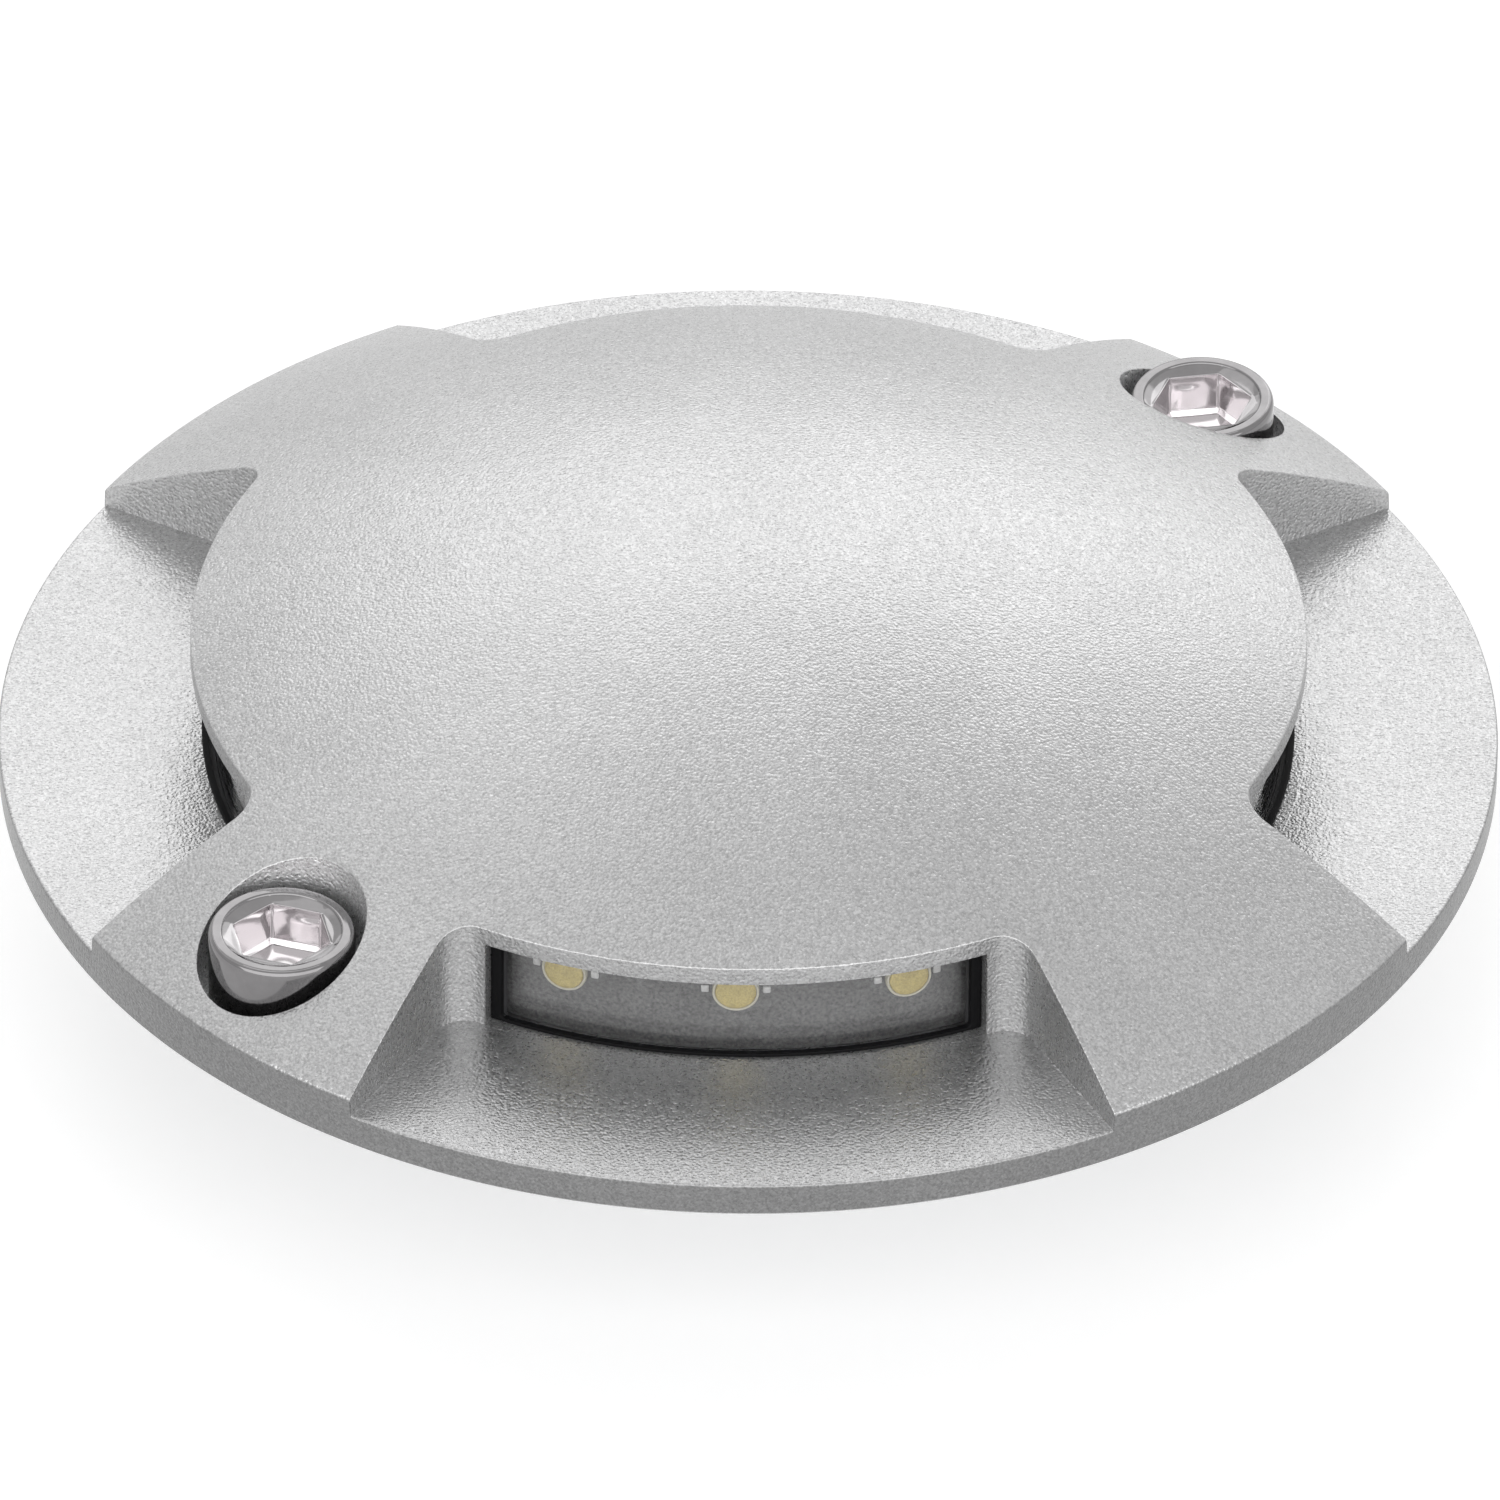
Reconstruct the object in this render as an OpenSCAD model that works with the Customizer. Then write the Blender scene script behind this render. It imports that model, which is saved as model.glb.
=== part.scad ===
// Drive-over recessed light: a cast dome cover with four side windows, held by two
// socket head screws, over a shallow base with a driver pot and a cable gland.
// Origin: centre of the flange's underside. +Z is up, out of the ground.
// The front window looks along -Y.
// The radii are a stack from the driver outwards: pot, base screws, light engine, window
// wall, fixing screws and flange. With the values here the flange is 140 mm across.

/* [Cover] */
// Height of the crown above the edge of the four arms
dome_rise = 19.9; // [18:0.1:24]
// Height of the arms' edge above the flange's underside
arm_edge_h = 5.3; // [4.8:0.1:6.5]
// Thickness of the flange on the floor of a recess
rim_h = 3.6; // [3.3:0.1:4]
// Half the angle that one recess spans, in degrees
recess_half = 30; // [28.5:0.5:32]
// Angle of the flat jamb between a window opening and the fillet beside it, in degrees
jamb_face = 0.6; // [0.3:0.1:3]
// Height of the upright lip over a window
brow_h = 1.8; // [1.5:0.1:2.2]
// Radius of the upright fillet between a recess's side and its back wall
jamb_fillet = 3; // [1:0.25:3.25]
// Thickness of the casting between the cavity and the window wall
jamb_wall = 1.5; // [1.2:0.1:1.8]
// Thickness of the crown
crown_wall = 4; // [3:0.25:5]
// Turn of the front and back pair, and of the side pair, away from square, in degrees
window_turn = 0.8; // [0:0.1:1.5]
// Chamfer on the flange's lower edge
edge_break = 0.4; // [0.2:0.1:0.8]
// Metal between the window wall's radius and a screw's counterbore
arm_web = 0.2; // [0.1:0.1:1]
// Metal between a screw's counterbore and the flange's edge
arm_rim = 2.2; // [1.5:0.1:4]
// Depth of the step over the base plate in the flange's underside
rebate_h = 0.2; // [0.1:0.05:0.4]
// Gap round the base plate in that step
rebate_gap = 0.4; // [0.2:0.05:0.5]

/* [Fixing screws] */
// Thread diameter of a fixing screw
screw_d = 8; // [6:0.5:8.5]
// Head diameter of a fixing screw
head_d = 13.6; // [12:0.1:14]
// Head height of a fixing screw
head_h = 8; // [7:0.25:9]
// Length of the shank below the head
shank_l = 10; // [8:1:14]
// Thickness of the sealing washer under a head
washer_t = 0.8; // [0.5:0.1:1.2]
// Metal left under the sealing washer
seat_wall = 2.5; // [2:0.1:3]
// Gap round the head in its counterbore
head_gap = 1; // [0.8:0.1:1.4]
// Gap round the shank in its hole
shank_gap = 0.5; // [0.3:0.05:0.8]
// Depth of the neck round the shank above the thread
neck_cut = 0.4; // [0.3:0.05:0.6]
// Bevels on a fixing screw's edges
screw_bevel = 0.4; // [0.2:0.05:0.5]
// Width across the flats of the hexagon socket
socket_af = 8.2; // [6:0.1:8.6]
// Depth of the hexagon socket
socket_depth = 4.8; // [4.5:0.1:5.5]
// Depth of the conical mouth of the socket
mouth_depth = 0.7; // [0.4:0.1:1]
// Width of the ring round the socket's mouth, with its outer bevel
head_ring = 1.4; // [0.9:0.05:1.6]

/* [Windows] */
// Thickness of a window pane
pane_t = 1.6; // [1.2:0.1:1.8]
// Thickness of the gasket lip in front of the pane
lip_t = 0.65; // [0.5:0.05:0.9]
// Thickness of the gasket under and over the pane
gasket_web = 0.8; // [0.6:0.1:1]
// How far the gasket lip covers the edge of the pane
lip_cover = 0.5; // [0.3:0.05:0.8]
// Angle of the pane's end that the gasket lip covers, in degrees
end_cover = 1.3; // [0.8:0.1:1.6]
// Angle from the end of the pane to the end of the gasket, in degrees
gasket_end = 1.5; // [1:0.1:2]

/* [Light engine] */
// Number of LEDs behind one window
led_count = 3; // [1:1:3]
// Angle between neighbouring LEDs, in degrees
led_step = 19.4; // [14:0.1:20]
// Diameter of one LED
led_d = 4.3; // [3.5:0.1:5]
// Thickness of one LED
led_t = 0.8; // [0.5:0.05:1]
// Height of the LEDs' centres above the flange's underside
led_z = 8.75; // [7.5:0.05:9.5]
// Gap between the LEDs and the pane
led_gap = 0.8; // [0.5:0.05:1.2]
// Width of one solder pad
pad_w = 0.75; // [0.5:0.05:1]
// Thickness of one solder pad
pad_t = 0.2; // [0.1:0.05:0.3]
// Distance from an LED's centre to its solder pads
pad_out = 2.8; // [2.7:0.05:3.4]
// Thickness of an LED board
board_t = 1; // [0.8:0.1:1.6]
// Angle from the end of a window to the end of its LED board, in degrees
board_lap = 4.7; // [2:0.1:10]
// Thickness of the ring that carries the LED boards
carrier_t = 2.6; // [2:0.1:2.8]
// Width of the ring's fixing tabs
tab_w = 8; // [7:0.5:9]
// Length of the ring's fixing tabs
tab_l = 7.5; // [7:0.25:9]
// Thickness of the ring's fixing tabs
tab_t = 2.8; // [2.2:0.1:3.5]
// Angle of the first fixing tab, in degrees
tab_angle = 20; // [18:0.5:24]
// Thread diameter of the tab screws
tab_screw_d = 3; // [2.5:0.5:3]

/* [Base] */
// Thickness of the base plate
plate_t = 3; // [2.5:0.1:4]
// Gap between the base plate and the shank's hole
plate_gap = 1; // [0.8:0.1:1.3]
// Height of the base plate's spigot inside the cavity
spigot_h = 1.8; // [1.4:0.1:2.2]
// Cord diameter of the seals
seal_d = 1.5; // [1.2:0.1:1.8]
// Gap between a base screw's head and the driver pot
base_head_gap = 0.9; // [0.5:0.1:2]
// Thread diameter of the base screws
base_screw_d = 4; // [3:0.5:4]
// Depth that the base screws reach into their bosses
base_screw_grip = 8.5; // [6:0.5:9]
// Metal round a base screw's hole in its boss
boss_wall = 2; // [1.5:0.1:2.5]
// Gap between a boss and the ring that carries the LED boards
boss_gap = 0.45; // [0.3:0.05:1]

/* [Driver pot] */
// Depth of the driver pot under the base plate
pot_depth = 20; // [19:0.5:24]
// Wall thickness of the driver pot
pot_wall = 2.5; // [2:0.1:2.8]
// Metal of the pot's flange outside the base screws' heads
pot_rim = 1.9; // [1:0.1:3]
// Thickness of the pot's flange
pot_flange_t = 2.5; // [2.2:0.1:3]
// Length of the driver, side to side
driver_x = 36; // [30:1:40]
// Width of the driver, front to back
driver_y = 27; // [22:1:30]
// Height of the driver
driver_z = 11; // [8:0.5:12]
// Distance of the driver's back face behind the centre
driver_back = 3; // [2.5:0.5:4]
// Gap between the driver's front corners and the pot's wall
driver_gap = 1.5; // [1:0.1:4]
// Number of poles of the terminal block
pole_count = 3; // [2:1:3]
// Width of one pole of the terminal block
pole_w = 6; // [5:0.5:7]
// Height of the terminal block
terminal_h = 9; // [8:0.5:10]
// Depth of the terminal block, front to back
terminal_y = 10; // [9:0.5:11]
// Gap between the driver and the terminal block
terminal_gap = 6; // [4:0.5:7]
// Depth of the terminal block's screw wells
terminal_well = 3; // [2:0.25:4]
// Thread diameter of the earth screw
earth_d = 4; // [3:0.5:4]
// Distance from the pot's wall to the earth screw's axis
earth_inset = 4; // [3.8:0.1:5]

/* [Wiring] */
// Radius of the distribution board
hub_r = 13; // [12:0.5:15]
// Thickness of the distribution board
hub_t = 1.6; // [1:0.1:2]
// Height of the distribution board's spacers
spacer_h = 3; // [2.5:0.25:4]
// Diameter of one supply lead
lead_d = 1.8; // [1.4:0.1:2]
// Distance between the supply leads
lead_pitch = 2.4; // [2.2:0.1:2.6]
// Diameter of one jumper lead
jumper_d = 1.6; // [1.2:0.1:1.8]
// Distance between the jumper leads of a pair
jumper_pitch = 2.4; // [2.2:0.1:3]
// Bore of the wire grommet
grommet_bore = 6.4; // [6:0.1:7]
// Wall of the wire grommet
grommet_wall = 2; // [1.5:0.1:2.5]
// Width and thickness of the wire grommet's lips
grommet_lip = 1.5; // [1:0.1:2]
// Radius of one spacer under the distribution board
spacer_r = 2.5; // [2:0.1:3]
// Distance from the spacers to the distribution board's edge
spacer_inset = 1; // [0.5:0.1:1.5]
// Thread diameter of the screws in the spacers
hub_screw_d = 2; // [2:0.5:2.5]
// How far the jumper leads reach over the distribution board
jumper_lap = 2.5; // [2:0.25:3]

/* [Cable entry] */
// Thread diameter of the cable gland
gland_d = 12; // [11:0.25:12.5]
// Width across the flats of the gland and its nut
gland_af = 14; // [13.5:0.1:14.4]
// Diameter of the cable that the gland takes
cable_d = 6.5; // [5:0.25:6.75]
// Length of the gland's hexagon
gland_hex_l = 4; // [3:0.5:5]
// Length of the gland's outer thread
gland_thread_l = 7; // [6:0.5:9]
// Thickness of the gland seal's wall
gland_seal_t = 1.5; // [1.2:0.1:1.7]
// Bare thread between the gland's hexagon and its nut
nut_gap = 1; // [0.5:0.25:2]
// Thickness of the nut's end wall
nut_end_t = 1.5; // [1:0.25:2]
// Thickness of the clamp ring inside the nut
clamp_t = 1; // [0.8:0.1:1.5]
// Play of the cable in the gland's bore
bore_play = 0.35; // [0.2:0.05:0.5]
// Metal round the gland's thread in the pot's boss
gland_wall = 2; // [1.5:0.1:2.25]
// How far the pot's boss for the gland stands out
boss_out = 2; // [1:0.25:3]
// How far the gland reaches into the pot
gland_in = 2; // [1:0.25:3]
// Distance from the gland's hexagon to its rubber seal
seal_step = 1; // [0.5:0.25:1.5]
// Thread diameter of the vent plug
vent_d = 6; // [5:0.5:7]
// Width of the rim and height of the knob of the vent plug's cap
vent_rim = 1.5; // [1:0.1:2]
// Thickness of the vent plug's cap
vent_cap = 2; // [1:0.25:3]
// Angle of the vent plug round the pot, in degrees
vent_angle = 150; // [140:1:170]

/* [Hidden] */
$fn = 96;
// Running gap of pieces that meet face to face on a curve
fit_gap = 0.05;
// Gap between pieces that move against each other
run_gap = 0.1;
// Overshoot of a cut past the face that it opens
cut = 1;
// Two screws stand on opposite arms
fixing_angles = [-135, 45];
socket_turns = [43, 10];

shank_r = screw_d / 2;
neck_r = shank_r - neck_cut;
head_r = head_d / 2;
base_screw_r = base_screw_d / 2;
base_head_r = base_screw_d * 0.9;
base_head_h = base_screw_d * 0.65;
base_angles = [45, 135, 225, 315];

driver_front = driver_y - driver_back;
pot_in_r = sqrt(driver_x * driver_x / 4 + driver_front * driver_front) + driver_gap;
pot_r = pot_in_r + pot_wall;
base_circle_r = pot_r + base_head_gap + base_head_r;
pot_flange_r = base_circle_r + base_head_r + pot_rim;
boss_r = base_screw_r + boss_wall;
carrier_in_r = base_circle_r + boss_r + boss_gap;
carrier_out_r = carrier_in_r + carrier_t;
board_in_r = carrier_out_r + fit_gap;
board_out_r = board_in_r + board_t;
led_face_r = board_out_r + led_t;
pane_in_r = led_face_r + led_gap;
pane_out_r = pane_in_r + pane_t;
gasket_out_r = pane_out_r + lip_t;
cavity_r = gasket_out_r + fit_gap;
window_r = cavity_r + jamb_wall;
bore_r = head_r + head_gap;
fixing_r = window_r + arm_web + bore_r;
plate_r = fixing_r - shank_r - shank_gap - plate_gap;
flange_r = fixing_r + bore_r + arm_rim;

dome_sphere_r = (flange_r * flange_r + dome_rise * dome_rise) / (2 * dome_rise);
dome_centre_z = arm_edge_h + dome_rise - dome_sphere_r;
brow_z = dome_z(window_r) - brow_h;
ceiling_z = brow_z + lip_cover;
// Small step that keeps neighbouring cuts from sharing a face or only touching
cut_step = 0.02;
fillet_r = window_r + jamb_fillet - cut_step;
fillet_a = recess_half - asin((jamb_fillet - cut_step) / fillet_r);
side_start_r = fillet_r * cos(recess_half - fillet_a);
window_half = fillet_a - jamb_face;
window_axes = [-90 - window_turn, window_turn, 90 - window_turn, 180 + window_turn];

seat_z = seat_wall;
head_z = seat_z + washer_t + 2 * fit_gap;
head_top_z = head_z + head_h;

pane_low_z = spigot_h + gasket_web;
pane_top_z = ceiling_z - fit_gap - gasket_web;
board_top_z = brow_z - gasket_web;
board_half = window_half + board_lap;
tab_end = sqrt(pow(carrier_in_r - fit_gap, 2) - pow(tab_w / 2, 2));

plate_low_z = -plate_t;
spigot_out_r = cavity_r - 2 * fit_gap;
base_seal_r = (cavity_r + plate_r) / 2;

pot_low_z = plate_low_z - pot_depth;
pot_floor_z = pot_low_z + pot_wall;
pot_flange_low_z = plate_low_z - pot_flange_t;
pot_seal_r = (pot_in_r + base_circle_r - base_screw_r) / 2;
driver_top_z = pot_floor_z + driver_z;
terminal_front_y = driver_back + terminal_gap;
terminal_top_z = pot_floor_z + terminal_h;

hub_z = spacer_h;
hub_top_z = hub_z + hub_t;
hub_screw_r = hub_screw_d / 2;
spacer_circle_r = hub_r - spacer_r - spacer_inset;
spacer_angles = base_angles;

gland_r = gland_d / 2;
gland_bore_r = cable_d / 2 + bore_play;
gland_z = (pot_low_z + pot_flange_low_z) / 2;
gland_boss_r = gland_r + gland_wall;
gland_face_y = pot_r + boss_out;
gland_hex_y = gland_face_y + gland_hex_l;
gland_end_y = gland_hex_y + gland_thread_l;
seal_in_r = cable_d / 2;
seal_out_r = seal_in_r + gland_seal_t;
seal_y = gland_hex_y + seal_step;
clamp_y = gland_end_y + 2 * fit_gap;
nut_y = gland_hex_y + nut_gap;
vent_r = vent_d / 2;
vent_head_r = vent_r + vent_rim;

// Height of the dome's outer face at radius r
function dome_z(r) = dome_centre_z + sqrt(dome_sphere_r * dome_sphere_r - r * r);

// Part of a ring between two radii and two heights, centred on one angle
module ring_sector(r_in, r_out, z_low, z_high, angle, half) {
  rotate([0, 0, angle - half])
    rotate_extrude(angle = 2 * half)
      translate([r_in, z_low])
        square([r_out - r_in, z_high - z_low]);
}

// Whole ring between two radii and two heights
module ring(r_in, r_out, z_low, z_high) {
  rotate_extrude()
    translate([r_in, z_low])
      square([r_out - r_in, z_high - z_low]);
}

// Upright cylinder between two heights
module post(r, z_low, z_high) {
  translate([0, 0, z_low])
    cylinder(r = r, h = z_high - z_low);
}

// Cylinder along +Y at the gland's height, between two distances
module gland_rod(r, y_low, y_high, sides = 96) {
  translate([0, y_low, gland_z])
    rotate([-90, 0, 0])
      cylinder(r = r, h = y_high - y_low, $fn = sides);
}

// Ring seal of round cord
module seal_ring(r, z_top) {
  translate([0, 0, z_top - seal_d / 2])
    rotate_extrude()
      translate([r, 0])
        circle(d = seal_d);
}

// Space that one recess takes out of the cover, with round inner corners
module recess_cut(angle) {
  high = arm_edge_h + dome_rise + cut;
  ring_sector(side_start_r, flange_r + cut, rim_h, high, angle, recess_half);
  ring_sector(window_r, side_start_r + cut, rim_h, high, angle, fillet_a);
  for (side = [-1, 1])
    rotate([0, 0, angle + side * fillet_a])
      translate([fillet_r, 0, 0])
        post(jamb_fillet, rim_h + cut_step, high);
}

// Opening of one window through the wall under the brow
module window_cut(angle) {
  ring_sector(cavity_r - cut, window_r + cut / 2, rim_h + cut_step, brow_z, angle, window_half);
}

// Clearance hole and counterbore of one fixing screw
module fixing_cut(angle) {
  rotate([0, 0, angle])
    translate([fixing_r, 0, 0]) {
      post(shank_r + shank_gap, -cut, seat_z + cut);
      post(bore_r, seat_z, head_top_z + dome_rise);
    }
}

// Hollow inside the cover: straight up past the brow, then under the crown
module cavity_cut() {
  post(cavity_r, -cut, ceiling_z);
  intersection() {
    post(cavity_r, -cut, arm_edge_h + dome_rise);
    translate([0, 0, dome_centre_z])
      sphere(r = dome_sphere_r - crown_wall, $fn = 240);
  }
}

// Cast dome cover with four recesses
module cover() {
  boss_top = dome_z(base_circle_r + boss_r) - crown_wall / 2;
  color("silver")
    difference() {
      union() {
        difference() {
          intersection() {
            post(flange_r, 0, arm_edge_h + dome_rise + cut);
            translate([0, 0, dome_centre_z])
              sphere(r = dome_sphere_r, $fn = 240);
            rotate_extrude($fn = 240)
              polygon([
                [0, 0],
                [flange_r - edge_break, 0],
                [flange_r, edge_break],
                [flange_r, arm_edge_h + dome_rise],
                [0, arm_edge_h + dome_rise + cut]
              ]);
          }
          cavity_cut();
          post(plate_r + rebate_gap, -cut, rebate_h);
        }
        for (a = base_angles)
          rotate([0, 0, a])
            translate([base_circle_r, 0, 0])
              post(boss_r, 0, boss_top);
      }
      for (a = window_axes) {
        recess_cut(a);
        window_cut(a);
      }
      for (a = fixing_angles)
        fixing_cut(a);
      for (a = base_angles)
        rotate([0, 0, a])
          translate([base_circle_r, 0, 0])
            post(base_screw_r + fit_gap, -cut, base_screw_grip + cut);
    }
}

// Curved pane of one window
module window_glass(angle) {
  color([0.85, 0.93, 0.95, 0.5])
    ring_sector(pane_in_r, pane_out_r, pane_low_z, pane_top_z, angle, window_half);
}

// Frame of black rubber round one pane, with a lip in front of its edge
module window_gasket(angle) {
  color([0.05, 0.05, 0.05])
    difference() {
      ring_sector(pane_in_r, gasket_out_r, spigot_h, ceiling_z - fit_gap, angle, window_half + gasket_end);
      ring_sector(pane_in_r - cut, pane_out_r + fit_gap, pane_low_z, pane_top_z, angle, window_half + fit_gap);
      ring_sector(pane_in_r - cut, gasket_out_r + cut, pane_low_z + lip_cover, pane_top_z - lip_cover, angle,
        window_half - end_cover);
    }
}

// Curved circuit board behind one window
module led_board(angle) {
  color([0.32, 0.33, 0.34])
    ring_sector(board_in_r, board_out_r, spigot_h + fit_gap, board_top_z, angle, board_half);
}

// Angles of the LEDs behind one window
function led_angles(angle) = [for (i = [0 : led_count - 1]) angle + (i - (led_count - 1) / 2) * led_step];

// LEDs of one window: a round body with a low phosphor dome
module leds(angle) {
  dome_h = led_t / 3;
  body_h = led_t - dome_h;
  dome_r = (led_d * led_d / 4 + dome_h * dome_h) / (2 * dome_h);
  color([0.93, 0.87, 0.5])
    for (a = led_angles(angle))
      rotate([0, 0, a])
        translate([board_out_r, 0, led_z])
          rotate([0, 90, 0])
            intersection() {
              cylinder(d = led_d, h = led_t);
              translate([0, 0, body_h + dome_h - dome_r])
                sphere(r = dome_r);
            }
}

// Two solder pads beside each LED of one window
module solder_pads(angle) {
  pad_a = asin(pad_out / board_out_r);
  color("white")
    for (a = led_angles(angle))
      for (side = [-1, 1])
        rotate([0, 0, a + side * pad_a])
          translate([board_out_r, -pad_w / 2, led_z - pad_w / 2])
            cube([pad_t, pad_w, pad_w]);
}

// Angles of the carrier's four tabs
function tab_angles() = [for (i = [0 : 3]) tab_angle + 90 * i];

// Aluminium ring that carries the LED boards, with four fixing tabs
module led_carrier() {
  color([0.42, 0.43, 0.45])
    difference() {
      union() {
        ring(carrier_in_r, carrier_out_r, spigot_h, board_top_z);
        for (a = tab_angles())
          rotate([0, 0, a]) {
            translate([tab_end - tab_l, -tab_w / 2, 0])
              cube([tab_l, tab_w, tab_t]);
            translate([tab_end - cut, -tab_w / 2, spigot_h + fit_gap])
              cube([carrier_t / 2 + cut, tab_w, tab_t - spigot_h - fit_gap]);
          }
      }
      for (a = tab_angles())
        rotate([0, 0, a])
          translate([tab_end - tab_l / 2, 0, 0])
            post(tab_screw_d / 2 + run_gap, -cut, tab_t + cut);
      for (a = window_axes)
        jumper_pair(a, jumper_d / 2 + fit_gap, carrier_in_r - cut, carrier_out_r + cut);
    }
}

// Pair of straight round bars side by side, along one angle
module jumper_pair(angle, r, from_r, to_r) {
  rotate([0, 0, angle])
    for (side = [-1, 1])
      translate([from_r, side * jumper_pitch / 2, hub_top_z + jumper_d / 2])
        rotate([0, 90, 0])
          cylinder(r = r, h = to_r - from_r);
}

// Pan head screw pointing down from z_seat
module pan_screw(d, length, z_seat) {
  head = d * 0.9;
  color("gainsboro")
    difference() {
      union() {
        post(d / 2, z_seat - length, z_seat);
        translate([0, 0, z_seat])
          cylinder(r1 = head, r2 = head * 0.85, h = d * 0.5);
      }
      translate([-head, -d * 0.1, z_seat + d * 0.3])
        cube([2 * head, d * 0.2, d]);
    }
}

// Screws through the carrier's tabs into the base plate
module carrier_screws() {
  for (a = tab_angles())
    rotate([0, 0, a])
      translate([tab_end - tab_l / 2, 0, 0])
        pan_screw(tab_screw_d, tab_t + plate_t * 0.7, tab_t);
}

// Base plate that closes the cavity from below
module base_plate() {
  color([0.6, 0.61, 0.63])
    difference() {
      union() {
        post(plate_r, plate_low_z, 0);
        ring(carrier_in_r, spigot_out_r, -cut, spigot_h);
      }
      ring(base_seal_r - seal_d / 2 - run_gap, base_seal_r + seal_d / 2 + run_gap, rebate_h - seal_d, cut);
      for (a = base_angles)
        rotate([0, 0, a])
          translate([base_circle_r, 0, 0])
            post(base_screw_r + run_gap, plate_low_z - cut, cut);
      for (a = tab_angles())
        rotate([0, 0, a])
          translate([tab_end - tab_l / 2, 0, 0])
            post(tab_screw_d / 2 + fit_gap, -plate_t * 0.8, cut);
      post(grommet_bore / 2 + grommet_wall, plate_low_z - cut, cut);
    }
}

// Seal between the base plate and the cover
module base_seal() {
  color([0.1, 0.1, 0.1])
    seal_ring(base_seal_r, rebate_h);
}

// Screws through the pot's flange and the base plate into the cover's bosses
module base_screws() {
  color("gainsboro")
    for (a = base_angles)
      rotate([0, 0, a])
        translate([base_circle_r, 0, 0])
          difference() {
            union() {
              post(base_screw_r, pot_flange_low_z, base_screw_grip);
              post(base_head_r, pot_flange_low_z - base_head_h, pot_flange_low_z);
            }
            translate([0, 0, pot_flange_low_z - base_head_h - cut])
              cylinder(d = base_screw_d * 0.8, h = base_head_h * 0.6 + cut, $fn = 6);
          }
}

// Round board that shares the supply out to the four LED boards
module distribution_board() {
  color([0.12, 0.36, 0.2])
    difference() {
      post(hub_r, hub_z, hub_top_z);
      for (a = spacer_angles)
        rotate([0, 0, a])
          translate([spacer_circle_r, 0, 0])
            post(hub_screw_r + run_gap, hub_z - cut, hub_top_z + cut);
    }
}

// Spacers under the distribution board
module board_spacers() {
  color("goldenrod")
    for (a = spacer_angles)
      rotate([0, 0, a])
        translate([spacer_circle_r, 0, 0])
          difference() {
            post(spacer_r, 0, hub_z);
            post(hub_screw_r + fit_gap, hub_z - spacer_h * 0.8, hub_z + cut);
          }
}

// Screws that hold the distribution board on its spacers
module board_screws() {
  for (a = spacer_angles)
    rotate([0, 0, a])
      translate([spacer_circle_r, 0, 0])
        pan_screw(hub_screw_d, hub_t + spacer_h * 0.7, hub_top_z);
}

// Leads from the distribution board out to the LED boards
module jumper_leads() {
  color("firebrick")
    for (a = window_axes)
      jumper_pair(a, jumper_d / 2, hub_r - jumper_lap, board_in_r - fit_gap);
}

// Leads from the driver up to the distribution board
module supply_leads() {
  color("royalblue")
    for (side = [-1, 1])
      translate([side * lead_pitch / 2, 0, 0])
        post(lead_d / 2, driver_top_z, hub_z);
}

// Rubber grommet in the middle of the base plate
module wire_grommet() {
  barrel_r = grommet_bore / 2 + grommet_wall - fit_gap;
  lip_r = barrel_r + grommet_lip;
  color([0.12, 0.12, 0.12])
    difference() {
      union() {
        post(lip_r, 0, grommet_lip);
        post(barrel_r, plate_low_z - grommet_lip, grommet_lip);
        post(lip_r, plate_low_z - grommet_lip, plate_low_z);
      }
      post(grommet_bore / 2, plate_low_z - grommet_lip - cut, grommet_lip + cut);
    }
}

// Round pot under the base plate that holds the driver
module driver_pot() {
  color([0.5, 0.51, 0.53])
    difference() {
      union() {
        post(pot_r, pot_low_z, plate_low_z);
        post(pot_flange_r, pot_flange_low_z, plate_low_z);
        gland_rod(gland_boss_r, 0, gland_face_y);
        rotate([0, 0, vent_angle])
          translate([0, 0, gland_z])
            rotate([0, 90, 0])
              cylinder(r = vent_head_r, h = pot_r + vent_rim);
      }
      post(pot_in_r, pot_floor_z, plate_low_z + cut);
      gland_rod(gland_r + fit_gap, 0, gland_face_y + cut);
      rotate([0, 0, vent_angle])
        translate([0, 0, gland_z])
          rotate([0, 90, 0])
            cylinder(r = vent_r + fit_gap, h = pot_r + 2 * cut);
      ring(pot_seal_r - seal_d / 2 - run_gap, pot_seal_r + seal_d / 2 + run_gap,
        plate_low_z - seal_d, plate_low_z + cut);
      for (a = base_angles)
        rotate([0, 0, a])
          translate([base_circle_r, 0, 0])
            post(base_screw_r + run_gap, pot_flange_low_z - cut, plate_low_z + cut);
      rotate([0, 0, -vent_angle])
        translate([pot_in_r - earth_inset, 0, 0])
          post(earth_d / 2 + fit_gap, pot_floor_z - pot_wall * 0.6, pot_floor_z + cut);
    }
}

// Seal between the pot and the base plate
module pot_seal() {
  color([0.1, 0.1, 0.1])
    seal_ring(pot_seal_r, plate_low_z);
}

// Potted driver on the pot's floor
module driver() {
  color([0.16, 0.16, 0.18])
    translate([-driver_x / 2, driver_back - driver_y, pot_floor_z])
      cube([driver_x, driver_y, driver_z]);
}

// Terminal block with one entry hole for each pole
module terminal_block() {
  color([0.86, 0.86, 0.82])
    difference() {
      translate([-pole_count * pole_w / 2, terminal_front_y, pot_floor_z])
        cube([pole_count * pole_w, terminal_y, terminal_h]);
      for (x = pole_places())
        translate([x, 0, 0]) {
          translate([0, terminal_front_y + terminal_y / 2, 0])
            post(pole_w * 0.3, terminal_top_z - terminal_well, terminal_top_z + cut);
          translate([0, terminal_front_y - cut, pot_floor_z + pole_w / 2])
            rotate([-90, 0, 0])
              cylinder(r = pole_w * 0.25, h = terminal_y + 2 * cut);
        }
    }
}

// Sideways places of the terminal block's poles
function pole_places() = [for (i = [0 : pole_count - 1]) (i - (pole_count - 1) / 2) * pole_w];

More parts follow.
